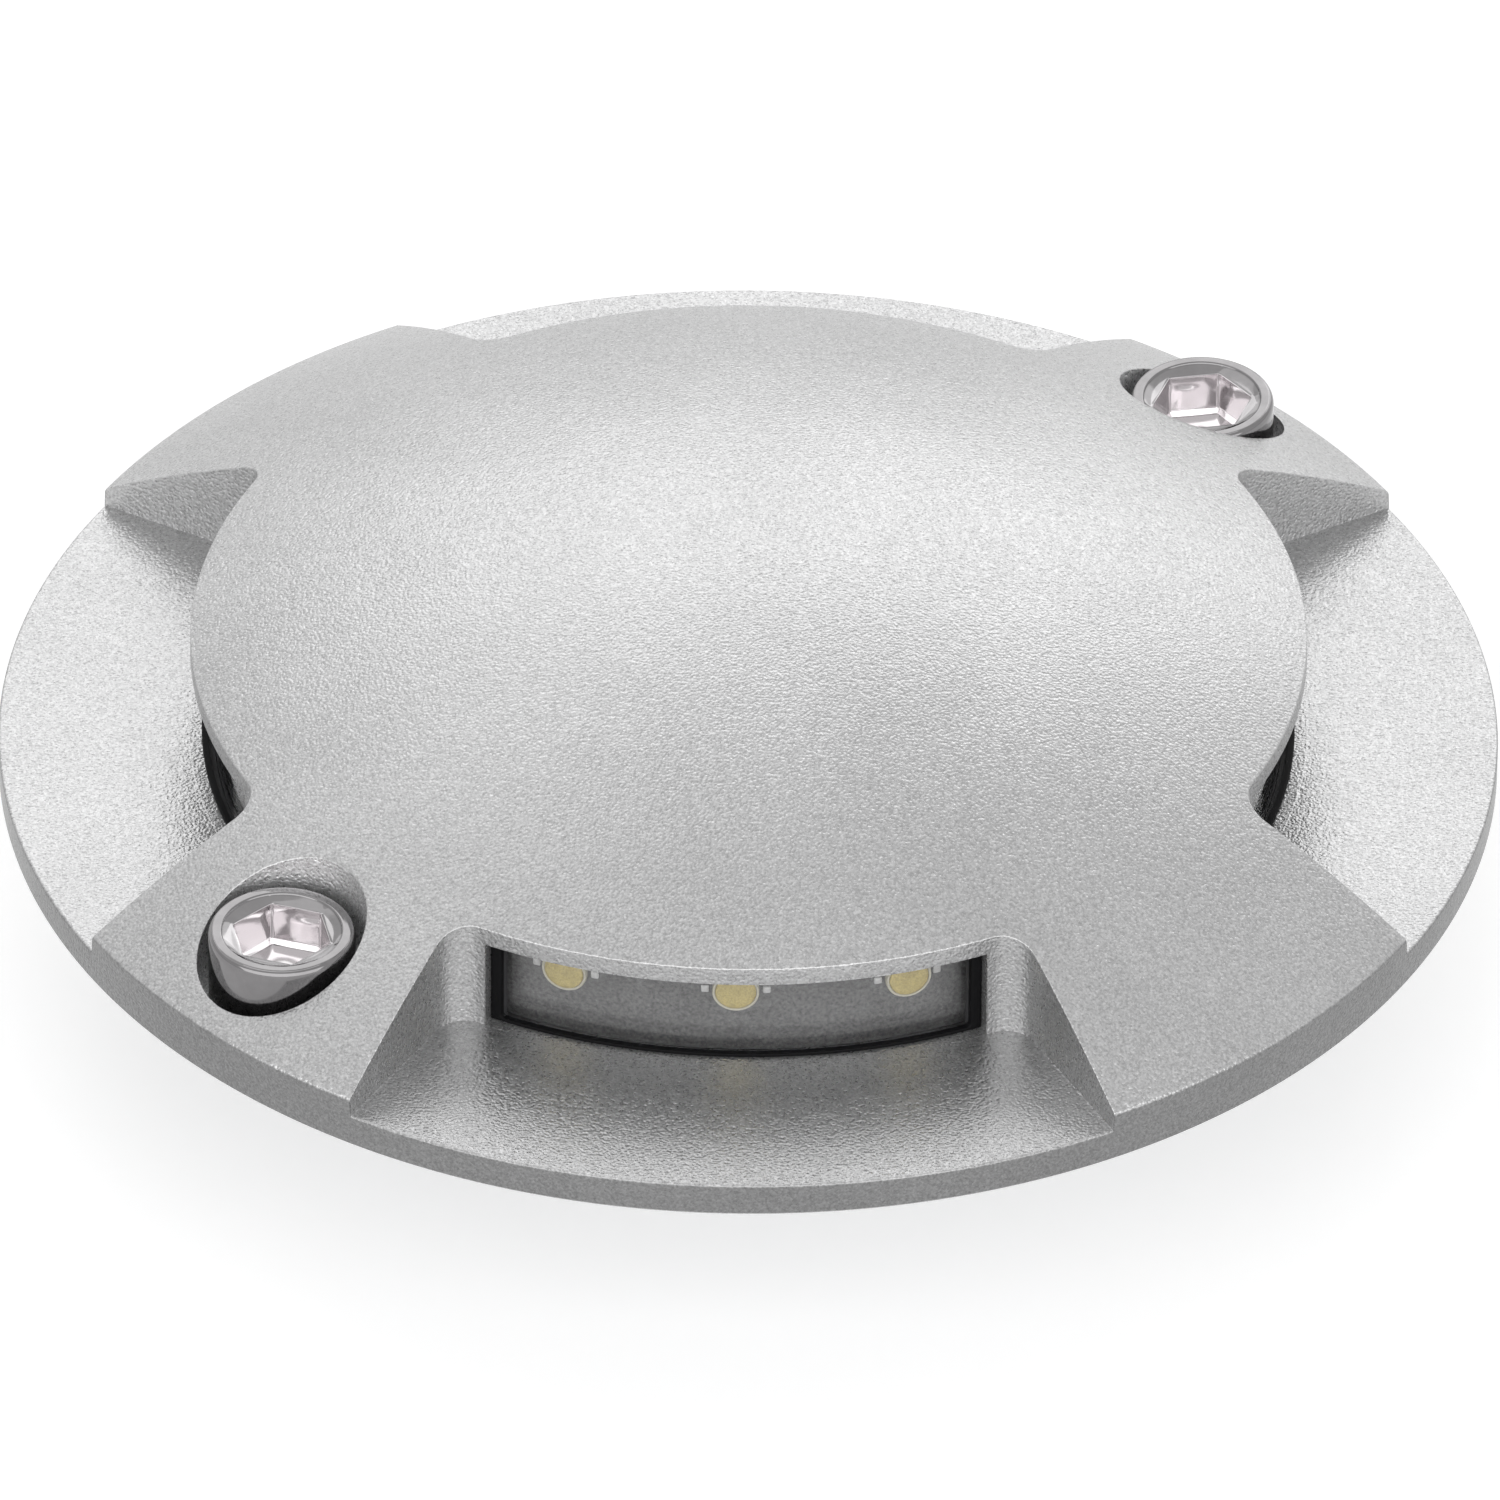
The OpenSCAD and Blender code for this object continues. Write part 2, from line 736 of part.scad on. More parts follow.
// Clamp screws of the terminal block
module terminal_screws() {
  r = pole_w * 0.3 - fit_gap;
  color("gainsboro")
    for (x = pole_places())
      translate([x, terminal_front_y + terminal_y / 2, 0])
        difference() {
          post(r, terminal_top_z - terminal_well, terminal_top_z - terminal_well / 6);
          translate([-r - cut, -pole_w / 20, terminal_top_z - terminal_well / 2])
            cube([2 * (r + cut), pole_w / 10, terminal_well]);
        }
}

// Earth screw on the pot's floor
module earth_screw() {
  rotate([0, 0, -vent_angle])
    translate([pot_in_r - earth_inset, 0, 0])
      pan_screw(earth_d, pot_wall * 0.5, pot_floor_z);
}

// Breather plug with a knurled cap, on the pot's side
module vent_plug() {
  color([0.2, 0.2, 0.22])
    rotate([0, 0, vent_angle])
      translate([0, 0, gland_z])
        rotate([0, 90, 0])
          translate([0, 0, pot_in_r])
            difference() {
              union() {
                cylinder(r = vent_r, h = pot_wall + vent_rim + vent_cap / 2);
                translate([0, 0, pot_wall + vent_rim])
                  cylinder(r = vent_head_r, h = vent_cap);
              }
              translate([0, 0, -cut])
                cylinder(r = vent_r / 2, h = pot_wall + cut);
            }
}

// Gland body: inner thread, hexagon and outer thread on one bore
module gland_body() {
  inner_y = pot_in_r - gland_in;
  hex_r = gland_af / 2 / cos(30);
  color([0.75, 0.76, 0.78])
    difference() {
      union() {
        gland_rod(gland_r, inner_y, gland_end_y);
        gland_rod(hex_r, gland_face_y, gland_hex_y, 6);
      }
      gland_rod(gland_bore_r, inner_y - cut, gland_end_y + cut);
      gland_rod(seal_out_r + fit_gap, seal_y, gland_end_y + cut);
    }
}

// Rubber sleeve that grips the cable
module gland_seal() {
  color([0.1, 0.1, 0.1])
    difference() {
      gland_rod(seal_out_r, seal_y, gland_end_y);
      gland_rod(seal_in_r, seal_y - cut, gland_end_y + cut);
    }
}

// Slip ring between the nut and the seal
module gland_clamp_ring() {
  color([0.85, 0.85, 0.8])
    difference() {
      gland_rod(gland_r, clamp_y, clamp_y + clamp_t);
      gland_rod(gland_bore_r, clamp_y - cut, clamp_y + clamp_t + cut);
    }
}

// Nut of the gland, closed towards the cable but for its mouth
module gland_nut() {
  hex_r = gland_af / 2 / cos(30);
  pocket_end = clamp_y + clamp_t + run_gap;
  color([0.75, 0.76, 0.78])
    difference() {
      gland_rod(hex_r, nut_y, pocket_end + nut_end_t, 6);
      gland_rod(gland_r + run_gap, nut_y - cut, pocket_end);
      gland_rod(gland_bore_r + run_gap, pocket_end - cut, pocket_end + nut_end_t + cut);
    }
}

// Sealing washer under one fixing screw's head
module fixing_washer(angle) {
  color([0.8, 0.8, 0.78])
    rotate([0, 0, angle])
      translate([fixing_r, 0, 0])
        ring(shank_r + run_gap, head_r, seat_z + fit_gap, seat_z + fit_gap + washer_t);
}

// Socket head cap screw on one arm
module fixing_screw(angle, turn) {
  mouth_r = head_r - head_ring;
  hex_r = socket_af / 2 / cos(30);
  bevel = screw_bevel;
  color([0.86, 0.86, 0.88])
    rotate([0, 0, angle])
      translate([fixing_r, 0, 0])
        difference() {
          rotate_extrude()
            polygon([
              [0, head_z - shank_l],
              [shank_r - bevel, head_z - shank_l],
              [shank_r, head_z - shank_l + bevel],
              [shank_r, 0],
              [neck_r, neck_cut],
              [neck_r, head_z],
              [head_r - bevel, head_z],
              [head_r, head_z + bevel],
              [head_r, head_top_z - bevel],
              [head_r - bevel, head_top_z],
              [mouth_r, head_top_z],
              [hex_r * 0.93, head_top_z - mouth_depth],
              [0, head_top_z - mouth_depth]
            ]);
          rotate([0, 0, turn - angle])
            translate([0, 0, head_top_z - socket_depth])
              cylinder(r = hex_r, h = socket_depth + cut, $fn = 6);
        }
}

cover();
window_glass(window_axes[0]);  // window_glass_front
window_glass(window_axes[1]);  // window_glass_right
window_glass(window_axes[2]);  // window_glass_back
window_glass(window_axes[3]);  // window_glass_left
window_gasket(window_axes[0]);  // window_gasket_front
window_gasket(window_axes[1]);  // window_gasket_right
window_gasket(window_axes[2]);  // window_gasket_back
window_gasket(window_axes[3]);  // window_gasket_left
led_board(window_axes[0]);  // led_board_front
led_board(window_axes[1]);  // led_board_right
led_board(window_axes[2]);  // led_board_back
led_board(window_axes[3]);  // led_board_left
leds(window_axes[0]);  // leds_front
leds(window_axes[1]);  // leds_right
leds(window_axes[2]);  // leds_back
leds(window_axes[3]);  // leds_left
solder_pads(window_axes[0]);  // solder_pads_front
solder_pads(window_axes[1]);  // solder_pads_right
solder_pads(window_axes[2]);  // solder_pads_back
solder_pads(window_axes[3]);  // solder_pads_left
led_carrier();
carrier_screws();
base_plate();
base_seal();
base_screws();
distribution_board();
board_spacers();
board_screws();
jumper_leads();
supply_leads();
wire_grommet();
driver_pot();
pot_seal();
driver();
terminal_block();
terminal_screws();
earth_screw();
vent_plug();
gland_body();
gland_seal();
gland_clamp_ring();
gland_nut();
fixing_washer(fixing_angles[0]);  // washer_front_left
fixing_washer(fixing_angles[1]);  // washer_back_right
fixing_screw(fixing_angles[0], socket_turns[0]);  // fixing_screw_front_left
fixing_screw(fixing_angles[1], socket_turns[1]);  // fixing_screw_back_right
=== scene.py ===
"""Recessed drive-over light: the visual pieces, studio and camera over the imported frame."""
import logging
import math
from dataclasses import dataclass, field
from enum import Enum
from typing import Any, Callable, Sequence

import bmesh
import bpy
from mathutils import Matrix, Quaternion, Vector
from mathutils.geometry import delaunay_2d_cdt


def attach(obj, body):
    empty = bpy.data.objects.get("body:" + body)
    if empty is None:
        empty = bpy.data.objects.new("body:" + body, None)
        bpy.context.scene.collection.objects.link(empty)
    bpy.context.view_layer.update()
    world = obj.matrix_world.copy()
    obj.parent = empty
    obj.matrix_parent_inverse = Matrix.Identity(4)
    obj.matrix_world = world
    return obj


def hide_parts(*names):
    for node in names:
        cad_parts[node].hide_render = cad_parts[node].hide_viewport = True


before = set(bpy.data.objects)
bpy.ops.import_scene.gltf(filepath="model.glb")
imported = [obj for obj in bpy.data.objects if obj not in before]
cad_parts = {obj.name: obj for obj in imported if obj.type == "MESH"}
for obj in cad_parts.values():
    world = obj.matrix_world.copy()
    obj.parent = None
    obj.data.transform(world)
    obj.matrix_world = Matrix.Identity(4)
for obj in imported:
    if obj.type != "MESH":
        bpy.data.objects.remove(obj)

MM = 0.001
LOG = logging.getLogger("recessed_light")

Colour = tuple[float, float, float]
Spot = tuple[float, float]
Point = tuple[float, float, float]
Face = Sequence[int]


class Side(Enum):
    """The four windows, each with the angle of its axis in degrees."""

    FRONT = -90.8
    RIGHT = 0.8
    BACK = 89.2
    LEFT = 180.8

    @property
    def label(self) -> str:
        """The side's name as the nodes carry it."""
        return self.name.lower()


class Corner(Enum):
    """The two arms that carry a fixing screw: the arm's angle and its socket's turn."""

    FRONT_LEFT = (-135.0, 43.0)
    BACK_RIGHT = (45.0, 10.0)

    @property
    def label(self) -> str:
        """The corner's name as the nodes carry it."""
        return self.name.lower()

    @property
    def angle(self) -> float:
        """Angle of the arm, in degrees."""
        return self.value[0]

    @property
    def turn(self) -> float:
        """Turn of the hexagon socket, in degrees."""
        return self.value[1]


class Cut(Enum):
    """What a boolean does with the second mesh."""

    ADD = "UNION"
    TAKE = "DIFFERENCE"


class Graph:
    """Adds nodes to one node tree and links them as they are added."""

    def __init__(self, tree: bpy.types.NodeTree) -> None:
        """Starts from an empty tree.

        Args:
            tree: The node tree to fill.
        """
        self.tree = tree
        tree.nodes.clear()

    def add(self, kind: str, inputs: dict[Any, Any] | None = None, **settings: Any) -> bpy.types.Node:
        """Adds one node.

        Args:
            kind: Blender's type name of the node.
            inputs: A socket to link or a value to set, by the input's name or number.
            settings: Properties of the node itself.

        Returns:
            The new node.
        """
        node = self.tree.nodes.new(kind)
        for key, value in settings.items():
            setattr(node, key, value)
        for key, value in (inputs or {}).items():
            if isinstance(value, bpy.types.NodeSocket):
                self.tree.links.new(value, node.inputs[key])
            else:
                node.inputs[key].default_value = value
        return node

    def math(self, operation: str, *values: Any) -> bpy.types.NodeSocket:
        """Adds a Math node.

        Args:
            operation: What the node computes.
            values: Its inputs, each a number or a socket.

        Returns:
            The node's output.
        """
        return self.add("ShaderNodeMath", dict(enumerate(values)), operation=operation).outputs[0]

    def noise(self, coords: bpy.types.NodeSocket, size: float, detail: float = 2.0) -> bpy.types.NodeSocket:
        """Adds a noise of a real size.

        Args:
            coords: Object coordinates, in metres.
            size: Size of the noise's features, in mm.
            detail: Number of finer layers.

        Returns:
            The noise's value, from 0 to 1.
        """
        inputs = {"Vector": coords, "Scale": 1 / (size * MM), "Detail": detail, "Roughness": 0.55}
        return self.add("ShaderNodeTexNoise", inputs).outputs["Fac"]

    def spread(self, value: bpy.types.NodeSocket, low: float, high: float,
               start: float = 0.3, end: float = 0.7) -> bpy.types.NodeSocket:
        """Maps a value onto a range, held at both ends.

        Args:
            value: What to map.
            low: Result at the start.
            high: Result at the end.
            start: Value that gives the low result.
            end: Value that gives the high result.

        Returns:
            The mapped value.
        """
        inputs = {0: value, 1: start, 2: end, 3: low, 4: high}
        return self.add("ShaderNodeMapRange", inputs).outputs[0]

    def length(self, vector: bpy.types.NodeSocket) -> bpy.types.NodeSocket:
        """Adds the length of a vector."""
        return self.add("ShaderNodeVectorMath", {0: vector}, operation="LENGTH").outputs["Value"]

    def blend(self, factor: Any, first: Any, second: Any) -> bpy.types.NodeSocket:
        """Mixes two colours.

        Args:
            factor: Share of the second colour.
            first: Colour or socket at factor 0.
            second: Colour or socket at factor 1.

        Returns:
            The mixed colour.
        """
        inputs = {0: factor, 6: opaque(first), 7: opaque(second)}
        return self.add("ShaderNodeMix", inputs, data_type="RGBA").outputs[2]


def opaque(colour: Any) -> Any:
    """Gives a plain colour its alpha, and leaves a socket as it is."""
    return (*colour, 1.0) if isinstance(colour, tuple) else colour


def scaled(colour: Colour, factor: float) -> Colour:
    """A colour made lighter or darker, held inside 0 to 1."""
    return tuple(min(1.0, max(0.0, channel * factor)) for channel in colour)


@dataclass(frozen=True)
class Finish:
    """A surface whose colour, gloss and relief vary with a fine grain and with wide soft patches."""

    name: str
    colour: Colour
    metallic: float = 0.0
    roughness: float = 0.5
    grain: float = 0.4
    contrast: float = 0.06
    gloss_spread: float = 0.06
    relief: float = 0.006
    patch: float = 9.0
    patch_contrast: float = 0.05
    specular: float = 0.5

    def build(self) -> bpy.types.Material:
        """Makes the material.

        Returns:
            The finished material.
        """
        material = bpy.data.materials.new(self.name)
        material.use_nodes = True
        graph = Graph(material.node_tree)
        coords = graph.add("ShaderNodeTexCoord").outputs["Object"]
        fine = self.grain_value(graph, coords)
        wide = graph.noise(coords, self.patch, 1.0)
        colour = graph.blend(graph.spread(fine, 0.0, 1.0), scaled(self.colour, 1 - self.contrast),
                             scaled(self.colour, 1 + self.contrast))
        shade = graph.spread(wide, 1 - self.patch_contrast, 1 + self.patch_contrast)
        colour = graph.add("ShaderNodeHueSaturation", {"Value": shade, "Color": colour}).outputs[0]
        gloss = graph.spread(fine, self.roughness - self.gloss_spread, self.roughness + self.gloss_spread)
        bump = graph.add("ShaderNodeBump", {"Height": self.height_value(graph, coords, fine),
                                            "Distance": self.relief * MM, "Strength": 1.0})
        shader = graph.add("ShaderNodeBsdfPrincipled", {
            "Base Color": self.tint(graph, coords, colour), "Metallic": self.metallic, "Roughness": gloss,
            "Normal": bump.outputs[0]})
        shader.inputs["Specular IOR Level"].default_value = self.specular
        self.adjust(shader)
        graph.add("ShaderNodeOutputMaterial", {"Surface": self.surface(graph, shader)})
        return material

    def grain_value(self, graph: Graph, coords: bpy.types.NodeSocket) -> bpy.types.NodeSocket:
        """The fine grain, from 0 to 1."""
        return graph.noise(coords, self.grain, 2.0)

    def height_value(self, graph: Graph, coords: bpy.types.NodeSocket,
                     fine: bpy.types.NodeSocket) -> bpy.types.NodeSocket:
        """The relief's height, which is the grain itself."""
        return fine

    def tint(self, graph: Graph, coords: bpy.types.NodeSocket, colour: bpy.types.NodeSocket) -> bpy.types.NodeSocket:
        """The colour with anything that a finish adds to it."""
        return colour

    def adjust(self, shader: bpy.types.Node) -> None:
        """Sets the shader's own constants, where a finish has any."""

    def surface(self, graph: Graph, shader: bpy.types.Node) -> bpy.types.NodeSocket:
        """What goes to the material's output."""
        return shader.outputs[0]


@dataclass(frozen=True)
class SandCoat(Finish):
    """Silver powder coat: a sand texture with light and dark flakes, with painted shade on the rim's side and painted
    light in the counterbores.
    """

    flake: float = 0.22
    flake_contrast: float = 0.3
    rim_r: float = 70.0
    rim_from: float = 0.12
    rim_to: float = 0.02
    rim_painted_shade: float = 0.5
    bore_r: float = 7.82
    bore_edge: float = 0.03
    bore_at: float = 60.0
    bore_painted_light: float = 2.0
    fine_share: float = 0.75
    swell_size: float = 2.2

    def grain_value(self, graph: Graph, coords: bpy.types.NodeSocket) -> bpy.types.NodeSocket:
        """The sand texture, with a coarser swell under it.

        Args:
            graph: The material's nodes.
            coords: Object coordinates, in metres.

        Returns:
            The grain, from 0 to 1.
        """
        fine = graph.noise(coords, self.grain, 0.6)
        swell = graph.noise(coords, self.grain * self.swell_size, 1.0)
        return graph.math("ADD", graph.math("MULTIPLY", fine, self.fine_share),
                          graph.math("MULTIPLY", swell, 1 - self.fine_share))

    def tint(self, graph: Graph, coords: bpy.types.NodeSocket, colour: bpy.types.NodeSocket) -> bpy.types.NodeSocket:
        """Adds single flakes, painted shade on the rim's side and painted light on the walls and seats of the
        counterbores.

        Args:
            graph: The material's nodes.
            coords: Object coordinates, in metres.
            colour: The colour so far.

        Returns:
            The finished colour.
        """
        cells = graph.add("ShaderNodeTexVoronoi", {"Vector": coords, "Scale": 1 / (self.flake * MM)})
        flake = graph.add("ShaderNodeSeparateColor", {0: cells.outputs["Color"]}).outputs[0]
        shade = graph.spread(flake, 1 - self.flake_contrast, 1 + self.flake_contrast, 0.0, 1.0)
        apart = graph.add("ShaderNodeSeparateXYZ", {0: coords})
        flat = graph.add("ShaderNodeCombineXYZ", {0: apart.outputs[0], 1: apart.outputs[1]})
        radius = graph.length(flat.outputs[0])
        # Painted shade: the rim's side is darkened to half the coat's colour to stand in for the shade it sits in.
        rim = graph.spread(radius, 1.0, self.rim_painted_shade, (self.rim_r - self.rim_from) * MM,
                           (self.rim_r - self.rim_to) * MM)
        shade = graph.math("MULTIPLY", shade, rim)
        # Painted light: within each counterbore the coat's colour is doubled to stand in for the light that reaches its
        # walls and seat.
        for corner in Corner:
            axis = tuple(way * MM for way in at_angle(self.bore_at, corner.angle))
            away = graph.add("ShaderNodeVectorMath", {0: flat.outputs[0], 1: (*axis, 0.0)}, operation="DISTANCE")
            painted_light = graph.spread(away.outputs["Value"], self.bore_painted_light, 1.0, (self.bore_r - self.bore_edge) * MM,
                                self.bore_r * MM)
            shade = graph.math("MULTIPLY", shade, painted_light)
        return graph.add("ShaderNodeHueSaturation", {"Value": shade, "Color": colour}).outputs[0]


@dataclass(frozen=True)
class SteelWithPaintedSocketLight(Finish):
    """Polished steel whose socket is brighter than its outside, by the piece's own attribute: a painted reflection
    standing in for light bounced round the socket.
    """

    # Painted reflection: the socket's brighter colour stands in for light bounced round the socket's walls.
    inner: Colour = (0.68, 0.66, 0.668)
    attribute: str = "socket"

    def tint(self, graph: Graph, coords: bpy.types.NodeSocket, colour: bpy.types.NodeSocket) -> bpy.types.NodeSocket:
        """Mixes in the socket's brighter colour, the painted reflection."""
        inside = graph.add("ShaderNodeAttribute", attribute_name=self.attribute).outputs["Fac"]
        return graph.blend(inside, colour, self.inner)


@dataclass(frozen=True)
class Turned(Finish):
    """Machined metal with the fine rings that a lathe leaves round the part's axis."""

    pitch: float = 0.35

    def height_value(self, graph: Graph, coords: bpy.types.NodeSocket,
                     fine: bpy.types.NodeSocket) -> bpy.types.NodeSocket:
        """Rings that follow the distance from the axis and the height, a little uneven.

        Args:
            graph: The material's nodes.
            coords: Object coordinates, in metres.
            fine: The fine grain.

        Returns:
            The relief's height.
        """
        apart = graph.add("ShaderNodeSeparateXYZ", {0: coords})
        flat = graph.add("ShaderNodeCombineXYZ", {0: apart.outputs[0], 1: apart.outputs[1]})
        radius = graph.length(flat.outputs[0])
        way = graph.math("ADD", radius, apart.outputs[2])
        wave = graph.math("SINE", graph.math("MULTIPLY", way, 2 * math.pi / (self.pitch * MM)))
        return graph.math("ADD", wave, graph.math("MULTIPLY", fine, 1.5))


@dataclass(frozen=True)
class ClearGlass(Finish):
    """Clear pane that lets the lamps' light through to what stands behind it."""

    def adjust(self, shader: bpy.types.Node) -> None:
        """Makes the shader glass."""
        shader.inputs["Transmission Weight"].default_value = 1.0
        shader.inputs["IOR"].default_value = 1.5

    def surface(self, graph: Graph, shader: bpy.types.Node) -> bpy.types.NodeSocket:
        """Glass for what looks at it, and clear for shadows.

        Args:
            graph: The material's nodes.
            shader: The glass shader.

        Returns:
            The mixed shader's output.
        """
        path = graph.add("ShaderNodeLightPath")
        clear = graph.add("ShaderNodeBsdfTransparent")
        return graph.add("ShaderNodeMixShader", {0: path.outputs["Is Shadow Ray"], 1: shader.outputs[0],
                                                 2: clear.outputs[0]}).outputs[0]


@dataclass(frozen=True)
class Palette:
    """Every finish of the light, by what it covers."""

    coat: SandCoat = SandCoat("cast_cover", (0.42, 0.42, 0.422), metallic=0.8, roughness=0.3, grain=0.27,
                              contrast=0.14, gloss_spread=0.05, relief=0.11, patch=14.0, patch_contrast=0.03,
                              flake=0.17, flake_contrast=0.15)
    steel: SteelWithPaintedSocketLight = SteelWithPaintedSocketLight("polished_stainless", (0.2, 0.195, 0.198), metallic=1.0, roughness=0.1, grain=0.7,
                               contrast=0.04, gloss_spread=0.03, relief=0.0006, patch=3.0)
    glass: ClearGlass = ClearGlass("clear_glass", (0.985, 0.985, 0.985), roughness=0.03, grain=3.0, contrast=0.01,
                                   gloss_spread=0.02, relief=0.0004, patch_contrast=0.01)
    rubber: Finish = Finish("black_rubber", (0.004, 0.004, 0.0045), roughness=0.6, grain=0.25, contrast=0.3,
                            relief=0.004, specular=0.1)
    gasket: Finish = Finish("gasket_rubber", (0.035, 0.035, 0.037), roughness=0.6, grain=0.25, contrast=0.3,
                            relief=0.004, specular=0.3)
    board: Finish = Finish("board_grey", (0.108, 0.108, 0.108), roughness=0.5, grain=0.32, contrast=0.42,
                           relief=0.05, patch=5.0, patch_contrast=0.1)
    # The LED phosphor, ceramic and solder colours are darkened throughout: painted shade standing in for the shade
    # under the brow behind the glass.
    phosphor: Finish = Finish("led_phosphor", (0.42, 0.345, 0.14), roughness=0.45, grain=0.16, contrast=0.2,
                              relief=0.02, patch=1.6, patch_contrast=0.1)
    ceramic: Finish = Finish("led_ceramic", (0.48, 0.46, 0.38), roughness=0.4, grain=0.2, contrast=0.06)
    solder: Finish = Finish("solder_white", (0.5, 0.5, 0.5), roughness=0.35, grain=0.15, contrast=0.06,
                            relief=0.01)
    carrier: Turned = Turned("carrier_grey", (0.4, 0.41, 0.43), metallic=1.0, roughness=0.36, relief=0.002)
    zinc: Finish = Finish("zinc_screw", (0.66, 0.67, 0.69), metallic=1.0, roughness=0.3, grain=0.5,
                          contrast=0.08, patch=2.5, patch_contrast=0.08)
    turned: Turned = Turned("machined_aluminium", (0.6, 0.605, 0.615), metallic=1.0, roughness=0.32,
                            relief=0.003, contrast=0.04, patch=12.0)
    green: Finish = Finish("board_green", (0.03, 0.17, 0.07), roughness=0.35, grain=0.6, contrast=0.1)
    brass: Finish = Finish("spacer_brass", (0.7, 0.5, 0.2), metallic=1.0, roughness=0.3, grain=0.4)
    red: Finish = Finish("red_insulation", (0.45, 0.03, 0.025), roughness=0.45, grain=0.8)
    blue: Finish = Finish("blue_insulation", (0.04, 0.12, 0.45), roughness=0.45, grain=0.8)
    potting: Finish = Finish("potting_black", (0.02, 0.02, 0.022), roughness=0.35, grain=1.2, contrast=0.2)
    terminal: Finish = Finish("terminal_plastic", (0.7, 0.7, 0.64), roughness=0.45, grain=0.5)
    black: Finish = Finish("black_plastic", (0.022, 0.022, 0.024), roughness=0.42, grain=0.3, contrast=0.2,
                           relief=0.01)
    nickel: Finish = Finish("nickel_brass", (0.6, 0.58, 0.53), metallic=1.0, roughness=0.22, grain=0.6,
                            contrast=0.05, relief=0.001, patch=4.0)
    pale: Finish = Finish("pale_plastic", (0.74, 0.74, 0.7), roughness=0.4, grain=0.4)


class Paint:
    """Builds each finish once and hands it out."""

    def __init__(self, palette: Palette) -> None:
        """Starts with nothing built.

        Args:
            palette: The light's finishes.
        """
        self.palette = palette
        self.made: dict[str, bpy.types.Material] = {}

    def of(self, finish: Finish) -> bpy.types.Material:
        """The material of a finish.

        Args:
            finish: The finish that is wanted.

        Returns:
            Its material, built on the first call.
        """
        if finish.name not in self.made:
            self.made[finish.name] = finish.build()
        return self.made[finish.name]

    def put(self, obj: bpy.types.Object, finish: Finish) -> None:
        """Gives an object one finish in all its slots.

        Args:
            obj: The object to dress.
            finish: Its finish.
        """
        material = self.of(finish)
        if not obj.material_slots:
            obj.data.materials.append(material)
        for slot in obj.material_slots:
            slot.material = material


def solid(name: str, points: Sequence[Point], faces: Sequence[Face], sharp: float = 32.0) -> bpy.types.Object:
    """Makes a closed solid in the scene.

    Args:
        name: The object's name.
        points: Corners, in mm.
        faces: Corner numbers of each face.
        sharp: Edges that turn by more than this angle, in degrees, stay crisp.

    Returns:
        The new object, with its faces pointing outwards.
    """
    mesh = bpy.data.meshes.new(name)
    mesh.from_pydata([Vector(p) * MM for p in points], [], faces)
    form = bmesh.new()
    form.from_mesh(mesh)
    bmesh.ops.recalc_face_normals(form, faces=form.faces)
    if form.calc_volume(signed=True) < 0:
        bmesh.ops.reverse_faces(form, faces=form.faces)
    form.to_mesh(mesh)
    form.free()
    smooth(mesh, sharp)
    obj = bpy.data.objects.new(name, mesh)
    bpy.context.scene.collection.objects.link(obj)
    return obj


def smooth(mesh: bpy.types.Mesh, sharp: float) -> None:
    """Shades a mesh smooth between its crisp edges.

    Args:
        mesh: The mesh to shade.
        sharp: Angle in degrees past which an edge is crisp.
    """
    mesh.shade_smooth()
    mesh.set_sharp_from_angle(angle=math.radians(sharp))


def open_edges(mesh: bpy.types.Mesh) -> int:
    """Counts the edges that don't join exactly two faces.

    Args:
        mesh: The mesh to look at.

    Returns:
        Their number, 0 on a closed mesh.
    """
    form = bmesh.new()
    form.from_mesh(mesh)
    count = sum(1 for edge in form.edges if len(edge.link_faces) != 2)
    form.free()
    return count


def bake(obj: bpy.types.Object) -> None:
    """Turns an object's modifiers into its plain mesh and removes them.

    Args:
        obj: The object whose modifiers are applied.
    """
    view = bpy.context.evaluated_depsgraph_get()
    mesh = bpy.data.meshes.new_from_object(obj.evaluated_get(view), depsgraph=view)
    obj.modifiers.clear()
    obj.data = mesh


def combine(obj: bpy.types.Object, other: bpy.types.Object, cut: Cut) -> None:
    """Joins a second solid to a first one, or takes it away, and deletes the second.

    Args:
        obj: The solid that stays.
        other: The solid that is added or taken.
        cut: Which of the two.
    """
    modifier = obj.modifiers.new("cut", "BOOLEAN")
    modifier.operation = cut.value
    modifier.solver = "EXACT"
    modifier.object = other
    bake(obj)
    bpy.data.objects.remove(other)


def gather(obj: bpy.types.Object, others: Sequence[bpy.types.Object]) -> None:
    """Moves the meshes of separate solids into one object and deletes the rest.

    Args:
        obj: The object that takes them.
        others: The objects that are used up.
    """
    form = bmesh.new()
    form.from_mesh(obj.data)
    for other in others:
        form.from_mesh(other.data)
        bpy.data.objects.remove(other)
    form.to_mesh(obj.data)
    form.free()


def at_angle(radius: float, degrees: float) -> Spot:
    """The place at a distance from the axis and an angle."""
    return radius * math.cos(math.radians(degrees)), radius * math.sin(math.radians(degrees))


def ring_faces(rows: int, count: int) -> list[Face]:
    """Faces between rows of points that each go once round.

    Args:
        rows: Number of rows.
        count: Points in a row.

    Returns:
        The four-cornered faces.
    """
    return [(row * count + i, row * count + (i + 1) % count, (row + 1) * count + (i + 1) % count,
             (row + 1) * count + i) for row in range(rows - 1) for i in range(count)]


def joining_faces(rows: int, count: int) -> list[Face]:
    """Faces that join the last row back to the first."""
    last = (rows - 1) * count
    return [(last + i, last + (i + 1) % count, (i + 1) % count, i) for i in range(count)]


def pole_faces(rows: int, count: int, poles: int) -> list[Face]:
    """Faces from the first and the last row to two poles.

    Args:
        rows: Number of rows.
        count: Points in a row.
        poles: Number of the first row's pole; the last row's pole comes after it.

    Returns:
        The three-cornered faces.
    """
    last = (rows - 1) * count
    near = [(poles, (i + 1) % count, i) for i in range(count)]
    return near + [(poles + 1, last + i, last + (i + 1) % count) for i in range(count)]


